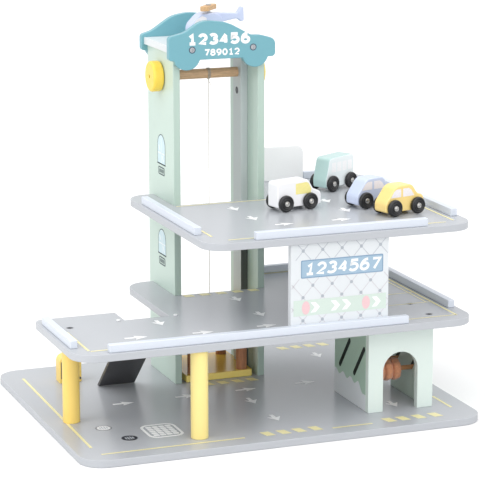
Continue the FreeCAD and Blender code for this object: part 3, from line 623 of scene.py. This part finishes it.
# Middle deck: one board with a bay for the ramp on its left and a notch round the tower.
# It rests on the columns, the tower and the wash tunnel, and low pale rails are glued round it.
mid_top = 126.2
rail_paint = satin_paint("rail_pale_paint", (214, 220, 230), 0.3)
coat(deck_grey, "mid_deck")
coat(rail_paint, "mid_front_rail", "mid_left_rail", "mid_right_rail", "mid_rear_rail")
mid_yellow = [
    bar(-233.5, -60.0, -233.5, -151.0, 3.2),
    bar(-232.0, -153.5, -2.0, -153.5, 3.2),
    bar(236.5, 112.0, 236.5, -153.0, 3.2),
    bar(229.5, 104.0, 229.5, -80.0, 1.8),
    bar(178.0, -29.0, 236.0, -29.0, 2.0),
    bar(178.0, -81.5, 236.0, -81.5, 2.0),
    bar(160.0, -151.5, 236.0, -151.5, 2.6),
    *dash_row((-38.0, -16.0, 6.0, 28.0, 50.0), 50.5, 61.5, 12.5, 1.0),
    bar(66.0, 135.0, 205.0, 135.0, 3.4),
]
mid_arrows = [
    arrow(13.0, 31.5, 13.4, 7.0),
    arrow(13.4, -50.0, 13.8, -73.5),
    arrow(-12.0, -116.5, 13.0, -117.5),
    arrow(-116.5, -46.0, -116.0, -70.5),
    arrow(-178.0, -113.0, -149.5, -114.5),
    arrow(-95.0, -119.0, -68.5, -120.5),
    arrow(100.0, 30.0, 126.0, 30.0),
    arrow(165.0, 60.0, 165.0, 35.0),
]
print_on("mid_deck_yellow_lines", "garage", lane_yellow, mid_yellow, on_top(mid_top))
print_on("mid_deck_white_arrows", "garage", lane_white, mid_arrows, on_top(mid_top))


# Ramp: a thin birch board, near-black all over, swinging on a steel pin in the middle deck's bay.
# Two white plastic caps press into the deck beside the pin's ends and keep it in.
black_paint = satin_paint("ramp_black_paint", (72, 72, 75), 0.34, 0.06)
coat(black_paint, "ramp_board")
coat(steel, "ramp_pin")


def plastic(name, card, gloss=0.32):
    """Moulded plastic with a faint grain."""
    finish = Finish(name, {"Specular IOR Level": 0.5})
    grain = finish.noise(1500.0, 2.0)
    cloud = finish.noise(120.0)
    colour = finish.blend(cloud, shade(*toned(card, 0.93)), shade(*toned(card, 1.04)))
    finish.relief(grain, 0.00004, 0.2)
    return finish.use(Base_Color=colour, Roughness=gloss + grain * 0.08)


white_plastic = plastic("white_plastic", (240, 241, 242))
coat(white_plastic, "ramp_pin_caps")


# Sign panel: a white board that stands on the middle deck and carries the upper deck's front.
# Printed on it are a trellis of thin lines with dots, a blue plate with bay numbers,
# and a pale green band with white chevrons and two rose spots.
panel_front = -160.1
# The panel's white is toned down to a light grey as painted shade from the upper deck.
white_paint = satin_paint("panel_white_painted_shade", (222, 226, 229), 0.3, 0.01)
coat(white_paint, "sign_panel")


def on_panel(lift):
    """Lay a print on the sign panel's front, lifted by a share of the ink's film."""
    return lambda x, z: Vector((x, panel_front - ink_film * lift, z)) * mm


def clipped(u0, v0, u1, v1, box):
    """The part of a line that lies inside a box, or None."""
    low, high = 0.0, 1.0
    for start, run, least, most in ((u0, u1 - u0, box[0], box[2]), (v0, v1 - v0, box[1], box[3])):
        near, far = sorted(((least - start) / run, (most - start) / run))
        low, high = max(low, near), min(high, far)
    if low >= high:
        return None
    return (u0 + (u1 - u0) * low, v0 + (v1 - v0) * low, u0 + (u1 - u0) * high, v0 + (v1 - v0) * high)


trellis_ink = printed_ink("trellis_grey_ink", (192, 196, 203))
trellis_rose = printed_ink("trellis_rose_ink", (208, 206, 211))
dot_ink = printed_ink("trellis_dot_ink", (174, 180, 188))
plate_blue = printed_ink("plate_blue_ink", (160, 186, 206))
plate_edge = printed_ink("plate_edge_ink", (126, 156, 184))
band_green = printed_ink("band_green_ink", (208, 222, 213))
band_white = printed_ink("band_white_ink", (244, 246, 247))
spot_rose = printed_ink("spot_rose_ink", (233, 196, 200))
upper_field = (14.9, 214.0, 140.3, 232.8)
lower_field = (14.9, 127.4, 140.3, 191.0)
upper_lines = []
lower_lines = []
cross_x, cross_z, cross_pitch = 54.8, 225.0, 25.0
line_run, line_drop, line_width = 125.0, 142.0, 0.95
for step in range(-14, 16):
    for lean in (-1, 1):
        x, half = cross_x + step * cross_pitch, lean * line_run
        line = (x - half, cross_z + line_drop, x + half, cross_z - line_drop)
        for field, found in ((upper_field, upper_lines), (lower_field, lower_lines)):
            part = clipped(*line, field)
            if part:
                found.append(bar(*part, line_width))
print_on("trellis_upper_lines", "garage", trellis_ink, upper_lines, on_panel(1))
print_on("trellis_lower_lines", "garage", trellis_rose, lower_lines, on_panel(1))
dots = []
for row_z, row_xs in (
    (225.0, (29.8, 54.8, 79.8, 104.8, 129.8)),
    (182.4, (42.3, 67.3, 92.3, 117.3)),
    (168.2, (29.8, 54.8, 79.8, 104.8, 129.8)),
    (139.8, (29.8, 54.8, 79.8, 104.8, 129.8)),
):
    dots += [disc(x, row_z, 2.0, 20) for x in row_xs]
print_on("trellis_dots", "garage", dot_ink, dots, on_panel(1.3))
plate_box = round_box(27, 191.5, 133.5, 213.5, 1.5, 3)
plate_inside = round_box(28.2, 192.7, 132.3, 212.3, 0.8, 3)
print_on("number_plate_edge", "garage", plate_edge, frame_of(plate_box, plate_inside), on_panel(1.4))
print_on("number_plate_blue", "garage", plate_blue, [plate_box], on_panel(1.2))
band_box = [(17.6, 145.7), (138, 145.7), (138, 165), (17.6, 165)]
print_on("chevron_band", "garage", band_green, [band_box], on_panel(1.2))


def chevron(tip, width=6.5, low=149.0, high=161.5, reach=5.5):
    """Arrow-shaped stripe inside the band, pointing right."""
    middle = (low + high) / 2
    back = tip - width
    front = [(back - reach, low), (tip - reach, low), (tip, middle)]
    return front + [(tip - reach, high), (back - reach, high), (back, middle)]


def oval(u, v, half_width, half_height, steps=36):
    """Outline of an oval spot."""
    turns = [tau * i / steps for i in range(steps)]
    return [(u + half_width * cos(turn), v + half_height * sin(turn)) for turn in turns]


spots = [oval(middle_x, 155.3, 5.2, 8.2) for middle_x in (33.5, 111.5)]
chevrons = [chevron(tip) for tip in (51.5, 77.5, 92.0, 131.0)]
print_on("band_spots", "garage", spot_rose, spots, on_panel(1.35))
print_on("white_chevrons", "garage", band_white, chevrons, on_panel(1.5))


def stroke(path, width, closed):
    """Faces of a ribbon of even width along a path, with its corners mitred."""
    count = len(path)
    sides = []
    for index, (u, v) in enumerate(path):
        before = path[index - 1] if closed or index else None
        after = path[(index + 1) % count] if closed or index < count - 1 else None
        ways = []
        for start, end in ((before, (u, v)), ((u, v), after)):
            if start and end:
                run = hypot(end[0] - start[0], end[1] - start[1])
                ways.append(((end[0] - start[0]) / run, (end[1] - start[1]) / run))
        lean_u = sum(-way[1] for way in ways) / len(ways)
        lean_v = sum(way[0] for way in ways) / len(ways)
        square = max(lean_u ** 2 + lean_v ** 2, 0.3)
        push_u, push_v = lean_u / square * width / 2, lean_v / square * width / 2
        sides.append(((u + push_u, v + push_v), (u - push_u, v - push_v)))
    faces = []
    for i in range(count if closed else count - 1):
        j = (i + 1) % count
        faces.append([*sides[i], *sides[j][::-1]])
    return faces


def bend(middle_u, middle_v, half_width, half_height, start, end, steps=14):
    """Points along part of an oval, between two angles in degrees."""
    turns = [radians(start + (end - start) * i / steps) for i in range(steps + 1)]
    return [(middle_u + half_width * cos(turn), middle_v + half_height * sin(turn)) for turn in turns]


six = [(bend(0.78, 0.4, 0.78, 0.6, 88, 180, 10), False), (bend(0.5, 0.31, 0.5, 0.31, 0, 350, 35), True)]
numeral_paths = {
    "0": [(bend(0.5, 0.5, 0.5, 0.5, 0, 350, 35), True)],
    "1": [([(0.16, 0.74), (0.56, 1.0), (0.56, 0.0)], False), ([(0.12, 0.0), (1.0, 0.0)], False)],
    "2": [(bend(0.5, 0.66, 0.5, 0.34, 165, -28) + [(0.02, 0.0), (1.0, 0.0)], False)],
    "3": [(bend(0.45, 0.75, 0.47, 0.25, 150, -90), False), (bend(0.45, 0.26, 0.55, 0.26, 90, -150), False)],
    "4": [([(0.72, 1.0), (0.0, 0.28), (1.0, 0.28)], False), ([(0.72, 0.86), (0.72, 0.0)], False)],
    "5": [([(0.94, 1.0), (0.12, 1.0), (0.08, 0.58)] + bend(0.45, 0.33, 0.55, 0.33, 118, -150), False)],
    "6": six,
    "7": [([(0.0, 1.0), (1.0, 1.0), (0.4, 0.0)], False)],
    "8": [(bend(0.5, 0.77, 0.42, 0.23, 0, 350, 35), True), (bend(0.5, 0.27, 0.5, 0.27, 0, 350, 35), True)],
    "9": [([(1 - u, 1 - v) for u, v in path], closed) for path, closed in six],
}


def numerals(name, body, material, text, height, width, weight, place, slant=0.0):
    """Row of plain bold numerals in ink: its size and the weight of its strokes in millimetres.
    Strokes that cross another go in a second, slightly higher film."""
    pitch = width / len(text)
    wide = pitch * 0.9 - weight
    tall = height - weight
    for film, part in enumerate(("first", "second")):
        shapes = []
        for index, figure in enumerate(text):
            for path, closed in numeral_paths[figure][film:film + 1]:
                points = []
                for u, v in path:
                    rise = weight / 2 + v * tall
                    points.append((index * pitch + weight / 2 + u * wide + slant * rise, rise))
                shapes += stroke(points, weight, closed)
        print_on(name + "_" + part + "_strokes", body, material, shapes,
                 lambda u, v, film=film: place(u, v) - Vector((0, 1.5 * ink_step * film, 0)) * mm)


numerals("plate_numerals", "garage", band_white, "1234567", 15.6, 99.0, 3.4,
         lambda u, v: Vector((31 + u, panel_front - ink_film * 1.5, 194.8 + v)) * mm, 0.2)


# Upper deck: the top floor, with the same notch round the tower, deeper beside it on the right.
# Rails are glued near its edges, and a low white wall with round corners stands beside the
# tower.
upper_top = 242.8
wall_white = satin_paint("wall_white_paint", (252, 252, 253), 0.3, 0.01)
coat(deck_grey, "upper_deck")
coat(rail_paint, "upper_front_rail", "upper_left_rail", "upper_right_rail", "upper_rear_rail")
coat(wall_white, "upper_rear_wall")
upper_yellow = [
    bar(-53.0, 57.5, 68.0, 57.5, 3.0),
    bar(-72.0, 92.0, -72.0, -124.0, 3.0),
    bar(235.0, 112.0, 235.0, -142.0, 3.0),
    bar(-60.0, -147.5, 222.0, -147.5, 3.0),
]
upper_arrows = [
    arrow(9.6, 31.5, 10.0, 7.0),
    arrow(10.8, -30.0, 11.2, -55.0),
    arrow(22.7, -88.0, 47.3, -88.5),
    arrow(136.5, 34.6, 136.8, 12.0),
    arrow(137.0, -25.0, 137.4, -50.0),
    arrow(97.0, -88.4, 122.6, -88.8),
    arrow(95.0, 80.0, 119.0, 80.0),
]
print_on("upper_deck_yellow_lines", "garage", lane_yellow, upper_yellow, on_top(upper_top))
print_on("upper_deck_white_arrows", "garage", lane_white, upper_arrows, on_top(upper_top))


# Lift: a floor and a roof board notched round the guide strips, joined by four round posts.
# The boards are painted yellow, their tops a darker yellow than their edges as painted shade,
# and the posts are oiled beech, glued into the floor.
# Painted shade: the lift boards' tops are a darker yellow than their edges.
lift_yellow_and_painted_shade = satin_paint("lift_yellow_paint", (226, 190, 88), 0.24, marks=[((255, 230, 130), edge_undercoat_and_painted_light)])
post_wood = wood("post_wood", (190, 132, 96), (700, 700, 60))
coat(lift_yellow_and_painted_shade, "lift_floor", "lift_roof")
coat(post_wood, "lift_posts")


# Roof: a board laid on the tower in pale paint, with a car outline sawn from board screwed
# to each end. The signs are sea green, and the front one has two rows of plain white numerals.
# Zinc plated screws with a cross recess hold the signs and the guide strips;
# dark rings printed round their heads are painted shade.
roof_paint = satin_paint("roof_pale_paint", (222, 226, 228), 0.3)
teal_paint = satin_paint("sign_teal_paint", (114, 171, 183), 0.3)
coat(roof_paint, "tower_roof_board")
coat(teal_paint, "front_roof_sign", "rear_roof_sign")
coat(steel, "tower_screws")
sign_front, sign_back = 55.1, 172.8
sign_ink = printed_ink("sign_white_ink", (248, 250, 250))
ring_shade_ink = printed_ink("screw_painted_shade_ink", (62, 84, 104))


def on_sign(u, v):
    """Lay a print on the front sign's face."""
    return Vector((u, sign_front - ink_film, v)) * mm


numerals("sign_numerals", "garage", sign_ink, "123456", 14.8, 85.0, 4.1,
         lambda u, v: on_sign(u - 38.0, v + 445.4 - u * 0.012))
numerals("sign_small_numerals", "garage", sign_ink, "789012", 8.8, 48.0, 2.1,
         lambda u, v: on_sign(u - 15.8, v + 431.2))
# Painted shade: dark rings round the sign screws stand for the shaded gap round each head.
screw_shade_rings = []
sign_screw_z = 439.6
for screw_x in (-31.4, 49.6):
    screw_shade_rings += frame_of(disc(screw_x, sign_screw_z, 4.4), disc(screw_x, sign_screw_z, 3.2))
print_on("front_sign_screw_shade_rings", "garage", ring_shade_ink, screw_shade_rings, on_sign)
print_on("rear_sign_screw_shade_rings", "garage", ring_shade_ink, screw_shade_rings,
         lambda u, v: Vector((u, sign_back + ink_film, v)) * mm)
# The dark ring round the strip screw is painted shade too.
strip_face, strip_screw_y, strip_screw_z = 49.85, 113.95, 376.8
strip_shade_ring = frame_of(disc(strip_screw_y, strip_screw_z, 4.7), disc(strip_screw_y, strip_screw_z, 2.0))
print_on("strip_screw_shade_ring", "garage", cover_print_and_screw_shade, strip_shade_ring,
         lambda u, v: Vector((strip_face - ink_film, u, v)) * mm)


# Winch: a beech dowel through both side boards, with a yellow knob pressed on each end
# and held by a small screw. The string is knotted to it and lies in two and a half turns.
winch_y, winch_z = 113.95, 400.7
winch_wood = wood("winch_wood", (226, 186, 146), (50, 800, 800))
knob_paint = satin_paint("knob_yellow_paint", (250, 214, 84), 0.26)
coat(winch_wood, "winch_dowel")
coat(knob_paint, "left_winch_knob", "right_winch_knob")
coat(steel, "winch_screws")


# String: twisted cotton, a millimetre thick. Its winding turns with the dowel.
# The straight run drops from the dowel's near side through the lift's roof,
# where a knot holds it. It is built at one length; on the toy it shortens as the lift rises.
def cotton(name, card):
    """Twisted cotton yarn with loose fibres."""
    finish = Finish(name, {"Specular IOR Level": 0.25, "Sheen Weight": 0.3})
    fibre = finish.noise(4000.0, 3.0)
    colour = finish.blend(fibre, shade(*toned(card, 0.84)), shade(*toned(card, 1.05)))
    finish.relief(fibre, 0.00008, 0.5)
    return finish.use(Base_Color=colour, Roughness=0.8 + fibre * 0.15)


string_cotton = cotton("string_cotton", (208, 200, 186))
string_radius, lay_radius, lay_pitch = 0.5, 6.85, 1.5
strand_share = 0.46
string_x, run_foot, knot_head, knot_middle = 8.8, 100.2, 90.2, 89.4
tail_length, tail_lean = 17.4, radians(28)


def spline_points(places, steps):
    """Points read from the smooth NURBS line that the string takes by its places."""
    curve = bpy.data.curves.new("string_route", "CURVE")
    curve.dimensions = "3D"
    line = curve.splines.new("NURBS")
    line.points.add(len(places) - 1)
    for point, place in zip(line.points, places):
        point.co = (*place, 1.0)
    line.order_u = 3
    line.use_endpoint_u = True
    line.resolution_u = steps
    route = bpy.data.objects.new("string_route", curve)
    mesh = bpy.data.meshes.new_from_object(route)
    points = [vertex.co.copy() for vertex in mesh.vertices]
    bpy.data.meshes.remove(mesh)
    bpy.data.objects.remove(route)
    bpy.data.curves.remove(curve)
    return points


def strands(route, twist=2.2, sides=6):
    """Two strands twisted round a route of points in millimetres."""
    points, faces = [], []
    for strand in (0, 1):
        rings = []
        side = Vector((0.31, 0.17, 0.93))
        run = 0.0
        for index, point in enumerate(route):
            ahead = (route[min(index + 1, len(route) - 1)] - route[max(index - 1, 0)]).normalized()
            side = (side - ahead * side.dot(ahead)).normalized()
            other = ahead.cross(side)
            if index:
                run += (point - route[index - 1]).length
            turn = tau * run / twist + pi * strand
            middle = point + (side * cos(turn) + other * sin(turn)) * string_radius * strand_share
            ring = []
            for i in range(sides):
                around = tau * i / sides
                out = side * cos(around) + other * sin(around)
                ring.append((middle + out * string_radius * (1 - strand_share)) * mm)
            rings.append(ring)
        join(points, faces, skin(rings))
    return points, faces


def lay_point(turn, reach):
    """Place after so many turns round the dowel, at a distance from its middle."""
    angle = tau * turn
    y, z = winch_y - reach * cos(angle), winch_z + reach * sin(angle)
    return Vector((string_x + lay_pitch * turn, y, z))


laid_turns, turn_places = 2.5, 16
corner_reach = lay_radius / cos(pi / turn_places)
winding_places = [lay_point(0, lay_radius)]
for i in range(int(laid_turns * turn_places)):
    winding_places.append(lay_point((i + 0.5) / turn_places, corner_reach))
last_lay = lay_point(laid_turns, lay_radius)
tail_way = (last_lay - lay_point(laid_turns - 1 / 48, lay_radius)).normalized()
tail_bend = Vector((sin(tail_lean), 0, -cos(tail_lean)))
tail_place = last_lay
for way, share in ((tail_way, 0.2), (tail_way, 0.3), (tail_bend, 0.3), (tail_bend, 0.2)):
    tail_place = tail_place + way * share * tail_length
    winding_places.append(tail_place)
winding_route = spline_points(winding_places, 6)
winding = mesh_piece("winch_string_winding", "winch", string_cotton, *strands(winding_route))
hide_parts("string_winding")
string_top = Vector((string_x, winch_y - lay_radius, winch_z))
string_foot = Vector((string_x, winch_y - lay_radius, run_foot))
run_points = [string_top * mm, string_top.lerp(string_foot, 0.5) * mm, string_foot * mm]
run_route = spline_points([point / mm for point in run_points[::-1]], 375)
lift_run = mesh_piece("lift_string_run", "garage", string_cotton, *strands(run_route))
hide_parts("lift_string")
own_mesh(lift_run)
knot_places = []
knot_steps, knot_size = 36, 0.46
for i in range(knot_steps + 1):
    turn = tau * i / knot_steps
    weave = Vector((sin(turn) + 2 * sin(2 * turn), cos(turn) - 2 * cos(2 * turn), -sin(3 * turn)))
    knot_places.append(Vector((string_x, winch_y - lay_radius, knot_middle)) + weave * knot_size)
knot_top = Vector((string_x, winch_y - lay_radius, knot_head))
knot_tail = spline_points([string_foot, string_foot.lerp(knot_top, 0.5), knot_top], 12)
knot_points, knot_faces = strands(spline_points(knot_places, 2))
join(knot_points, knot_faces, strands(knot_tail))
knot = mesh_piece("lift_knot", "lift", string_cotton, knot_points, knot_faces)
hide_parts("lift_string_knot")


# Vehicles: sawn and rounded blocks, sprayed in satin colours, with windows printed on.
# Two steel axles run through each, with black moulded wheels that have a raised rim ring
# and a pressed hub cap.
wheel_black = plastic("wheel_black_plastic", (30, 30, 32), 0.3)
hub_steel = metal("hub_cap_steel", (206, 204, 200), 0.2)
half_body = 11.5
half_base = 18.0
axle_height = 10.5
axle_radius, axle_reach, axle_sides = 1.5, 12.2, 16
wheel_gap = 0.4
standing_gap = 0.3


def parked(x, y, heading):
    """Place of a vehicle on the upper deck, from its own millimetres to metres."""
    turn = Matrix.Rotation(radians(heading), 4, "Z")
    return Matrix.Translation(Vector((x, y, upper_top + standing_gap)) * mm) @ turn @ Matrix.Scale(mm, 4)


def turned(profile, axle_x, side, steps=48):
    """Rings of a shape turned about an axle: how far out along it, and radius."""
    rings = []
    for out, radius in profile:
        y = side * (half_body + wheel_gap + out)
        rings.append([
            Vector((axle_x + radius * cos(tau * i / steps), y, axle_height + radius * sin(tau * i / steps)))
            for i in range(steps)
        ])
    return rings


tyre_profile = (
    (0.0, 1.55), (0.0, 8.6), (0.3, 9.7), (1.2, 10.4), (2.6, 10.5), (4.0, 10.4), (4.9, 10.0), (5.35, 9.2),
    (5.5, 8.5), (5.45, 8.0), (5.0, 7.7), (4.75, 7.3), (4.8, 6.9), (5.15, 6.6), (5.35, 6.2), (5.3, 5.8),
    (4.9, 5.5), (4.5, 5.0), (4.4, 4.2), (4.6, 3.6), (5.0, 3.3), (5.2, 2.8), (5.2, 1.55),
)
cap_profile = (
    (5.2, 1.2), (5.25, 3.3), (5.55, 3.35), (5.85, 3.15), (5.9, 2.9), (5.75, 2.65), (5.7, 2.3),
    (5.9, 1.9), (6.15, 1.3), (6.25, 0.7), (6.28, 0.2),
)


def wheel_pair(name, body, node, axle_x, spot):
    """Both wheels of an axle, each with its hub cap, and the axle between them."""
    points, faces, metal_faces = [], [], []
    for side in (-1, 1):
        for profile, is_metal in ((tyre_profile, False), (cap_profile, True)):
            part = skin(turned(profile, axle_x, side), is_metal)
            metal_faces += [is_metal] * len(part[1])
            join(points, faces, part)
    turns = [tau * i / axle_sides for i in range(axle_sides)]
    axle = skin([
        [
            Vector((axle_x + axle_radius * cos(turn), y, axle_height + axle_radius * sin(turn)))
            for turn in turns
        ]
        for y in (-axle_reach, axle_reach)
    ])
    metal_faces += [True] * len(axle[1])
    join(points, faces, axle)
    wheels = mesh_piece(name, body, wheel_black, [spot @ point for point in points], faces)
    wheels.data.materials.append(hub_steel)
    for polygon, is_metal in zip(wheels.data.polygons, metal_faces):
        polygon.material_index = int(is_metal)
    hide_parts(node)


def on_side(spot, side):
    """Lay a print on a vehicle's flat side."""
    return lambda u, v: spot @ Vector((u, side * (half_body + ink_film), v))


window_white = printed_ink("window_white_ink", (250, 251, 253), 0.24)
window_yellow = printed_ink("window_yellow_ink", (254, 238, 158), 0.24)
window_rose = printed_ink("window_rose_ink", (246, 240, 242), 0.24)
van_white = satin_paint("van_white_paint", (248, 248, 250), 0.26, 0.015)
bus_turn = radians(206.6 + 90)


def bus_flank_painted_light(finish):
    """Mask of the bus's two long sides, painted a paler mint than its ends and roof as painted light."""
    across = facing(finish, "X") * cos(bus_turn) + facing(finish, "Y") * sin(bus_turn)
    return across * across > 0.6


# Painted light: the bus's long sides are a paler mint.
bus_mint = satin_paint("bus_mint_paint", (188, 216, 214), 0.26, marks=[((236, 244, 245), bus_flank_painted_light)])
lavender = satin_paint("lavender_paint", (206, 216, 240), 0.26)
car_yellow = satin_paint("car_yellow_paint", (252, 222, 142), 0.26)
coupe_windows = [
    [(-22.5, 23.0), (-6.5, 23.0), (-6.5, 33.0), (-13.5, 33.0), (-17.5, 30.5)],
    [(-3.5, 23.0), (14.5, 23.0), (9.5, 30.5), (5.5, 33.2), (-3.5, 33.2)],
]
van_windows = [[(-2.0, 20.0), (20.5, 20.0), (21.0, 25.5), (17.0, 33.0), (13.5, 34.5), (-2.0, 33.5)]]
bus_windows = [round_box(u, 24.5, u + 8.5, 37.0, 1.2, 4) for u in (-23.0, -12.5, -2.0, 8.5)]
fleet = (
    ("white_van", (77.2, -7.8, 11.0), van_white, window_yellow, van_windows),
    ("mint_bus", (177.2, 94.4, 206.6), bus_mint, window_white, bus_windows),
    ("lavender_car", (176.9, -24.1, 14.4), lavender, window_rose, coupe_windows),
    ("yellow_car", (190.3, -81.0, 14.4), car_yellow, window_rose, coupe_windows),
)
for name, where, paint, glass, windows in fleet:
    spot = parked(*where)
    coat(paint, name + "_body")
    for axle, axle_x in (("front", half_base), ("rear", -half_base)):
        node = name + "_" + axle + "_wheels"
        wheel_pair(name + "_" + axle + "_turned_wheels", name + "_" + axle + "_axle", node, axle_x, spot)
    for side, word in ((-1, "right"), (1, "left")):
        print_on(name + "_" + word + "_windows", name, glass, windows, on_side(spot, side))


# Helicopter: a sawn cabin with a thin tail boom, sprayed pale lilac, its window printed on.
# A beech rotor bar turns on a steel pin driven into the cabin.
heli_paint = satin_paint("helicopter_paint", (199, 208, 233), 0.28)
rotor_wood = wood("rotor_wood", (222, 180, 132), (260, 260, 700))
coat(heli_paint, "helicopter_body")
coat(rotor_wood, "helicopter_rotor")
coat(steel, "helicopter_rotor_pin")
cabin_x, cabin_half, cabin_floor = 12.0, 10.0, 444.4
cabin_window = [
    (-24.5, 12.0), (-9.0, 12.0), (-6.5, 15.5), (-6.5, 28.0), (-12.5, 30.5), (-20.0, 26.5), (-24.5, 20.0),
]


def on_cabin(side):
    """Lay a print on one flat side of the cabin."""
    face_y = winch_y + side * (cabin_half + ink_film)
    return lambda u, v: Vector((cabin_x + u, face_y, cabin_floor + standing_gap + v)) * mm


for side, word in ((-1, "near"), (1, "far")):
    print_on("helicopter_" + word + "_window", "helicopter", window_rose, [cabin_window], on_cabin(side))


# Studio: a pale floor that keeps the soft shadow, an even white sky and three wide soft lamps,
# from above, from the front and from the left, as in a product photograph.
# The camera stands far off at the front left, a little above the toy.
floor_mesh = bpy.data.meshes.new("studio_floor")
floor_half, floor_drop = 30.0, 0.0002
floor_corners = [(u * floor_half, v * floor_half, 0) for u, v in ((-1, -1), (1, -1), (1, 1), (-1, 1))]
floor_mesh.from_pydata(floor_corners, [], [[0, 1, 2, 3]])
floor = stood("studio_floor", floor_mesh)
floor.location.z = -floor_drop
floor_finish = Finish("studio_floor_white", {"Roughness": 1.0, "Specular IOR Level": 0.0})
seen = floor_finish.node("LightPath", {}, {}, "Is Camera Ray")
floor_bounce, floor_seen = (0.75, 0.75, 0.75, 1), (0.95, 0.95, 0.95, 1)
floor_colour = floor_finish.blend(seen, floor_bounce, floor_seen)
floor_mesh.materials.append(floor_finish.use(Base_Color=floor_colour))


class Sky(Finish):
    """The world's shader, which takes nodes in the same way as a material."""

    def __init__(self, name):
        world = bpy.data.worlds.new(name)
        world.use_nodes = True
        bpy.context.scene.world = world
        self.tree = world.node_tree
        self.shader = self.tree.nodes["Background"]

    def ray(self, kind):
        """One for rays of that kind, else nought."""
        return self.node("LightPath", {}, {}, "Is " + kind + " Ray")


sky = Sky("studio_sky")
clear = sky.ray("Camera").most(sky.ray("Glossy")).most(sky.ray("Transmission"))
sky_light, sky_seen = 0.6, 1.0
sky.feed(sky.shader.inputs["Strength"], clear * (sky_seen - sky_light) + sky_light)
sky.feed(sky.shader.inputs["Color"], (0.985, 0.992, 1.0, 1))
for name, kind, power, softness, spot, way in (
    ("upper", "SUN", 2.1, {"angle": radians(110)}, (0.0, 0.0, 2.0), (0.1, 0.15, -1.0)),
    ("front", "SUN", 0.85, {"angle": radians(60)}, (0.0, -2.0, 0.5), (-0.1, 0.95, -0.26)),
    ("left", "AREA", 3.4, {"shape": "DISK", "size": 0.9}, (-1.15, -0.15, 0.55), (0.95, 0.18, -0.24)),
):
    lamp = bpy.data.lights.new(name + "_soft_lamp", kind)
    lamp.energy = power
    for setting, value in softness.items():
        setattr(lamp, setting, value)
    lamp_stand = stood(lamp.name, lamp)
    lamp_stand.location = spot
    lamp_stand.rotation_mode = "QUATERNION"
    lamp_stand.rotation_quaternion = Vector(way).to_track_quat("-Z", "Y")
camera_lens = bpy.data.cameras.new("photo_camera")
camera_lens.lens = 165.86
camera_lens.sensor_width = 36.0
camera_lens.clip_end = 100.0
camera_heading, camera_dip, camera_roll = radians(-20.844), radians(12.555), radians(-0.064)
camera = stood("photo_camera", camera_lens)
camera.location = Vector((-953.4, -2540.7, 811.2)) * mm
camera.rotation_mode = "QUATERNION"
aim = Matrix.Rotation(camera_heading, 4, "Z") @ Matrix.Rotation(pi / 2 - camera_dip, 4, "X")
camera.rotation_quaternion = aim.to_quaternion() @ Quaternion((0, 0, 1), camera_roll)
bpy.context.scene.camera = camera
bpy.context.scene.view_settings.view_transform = "Standard"
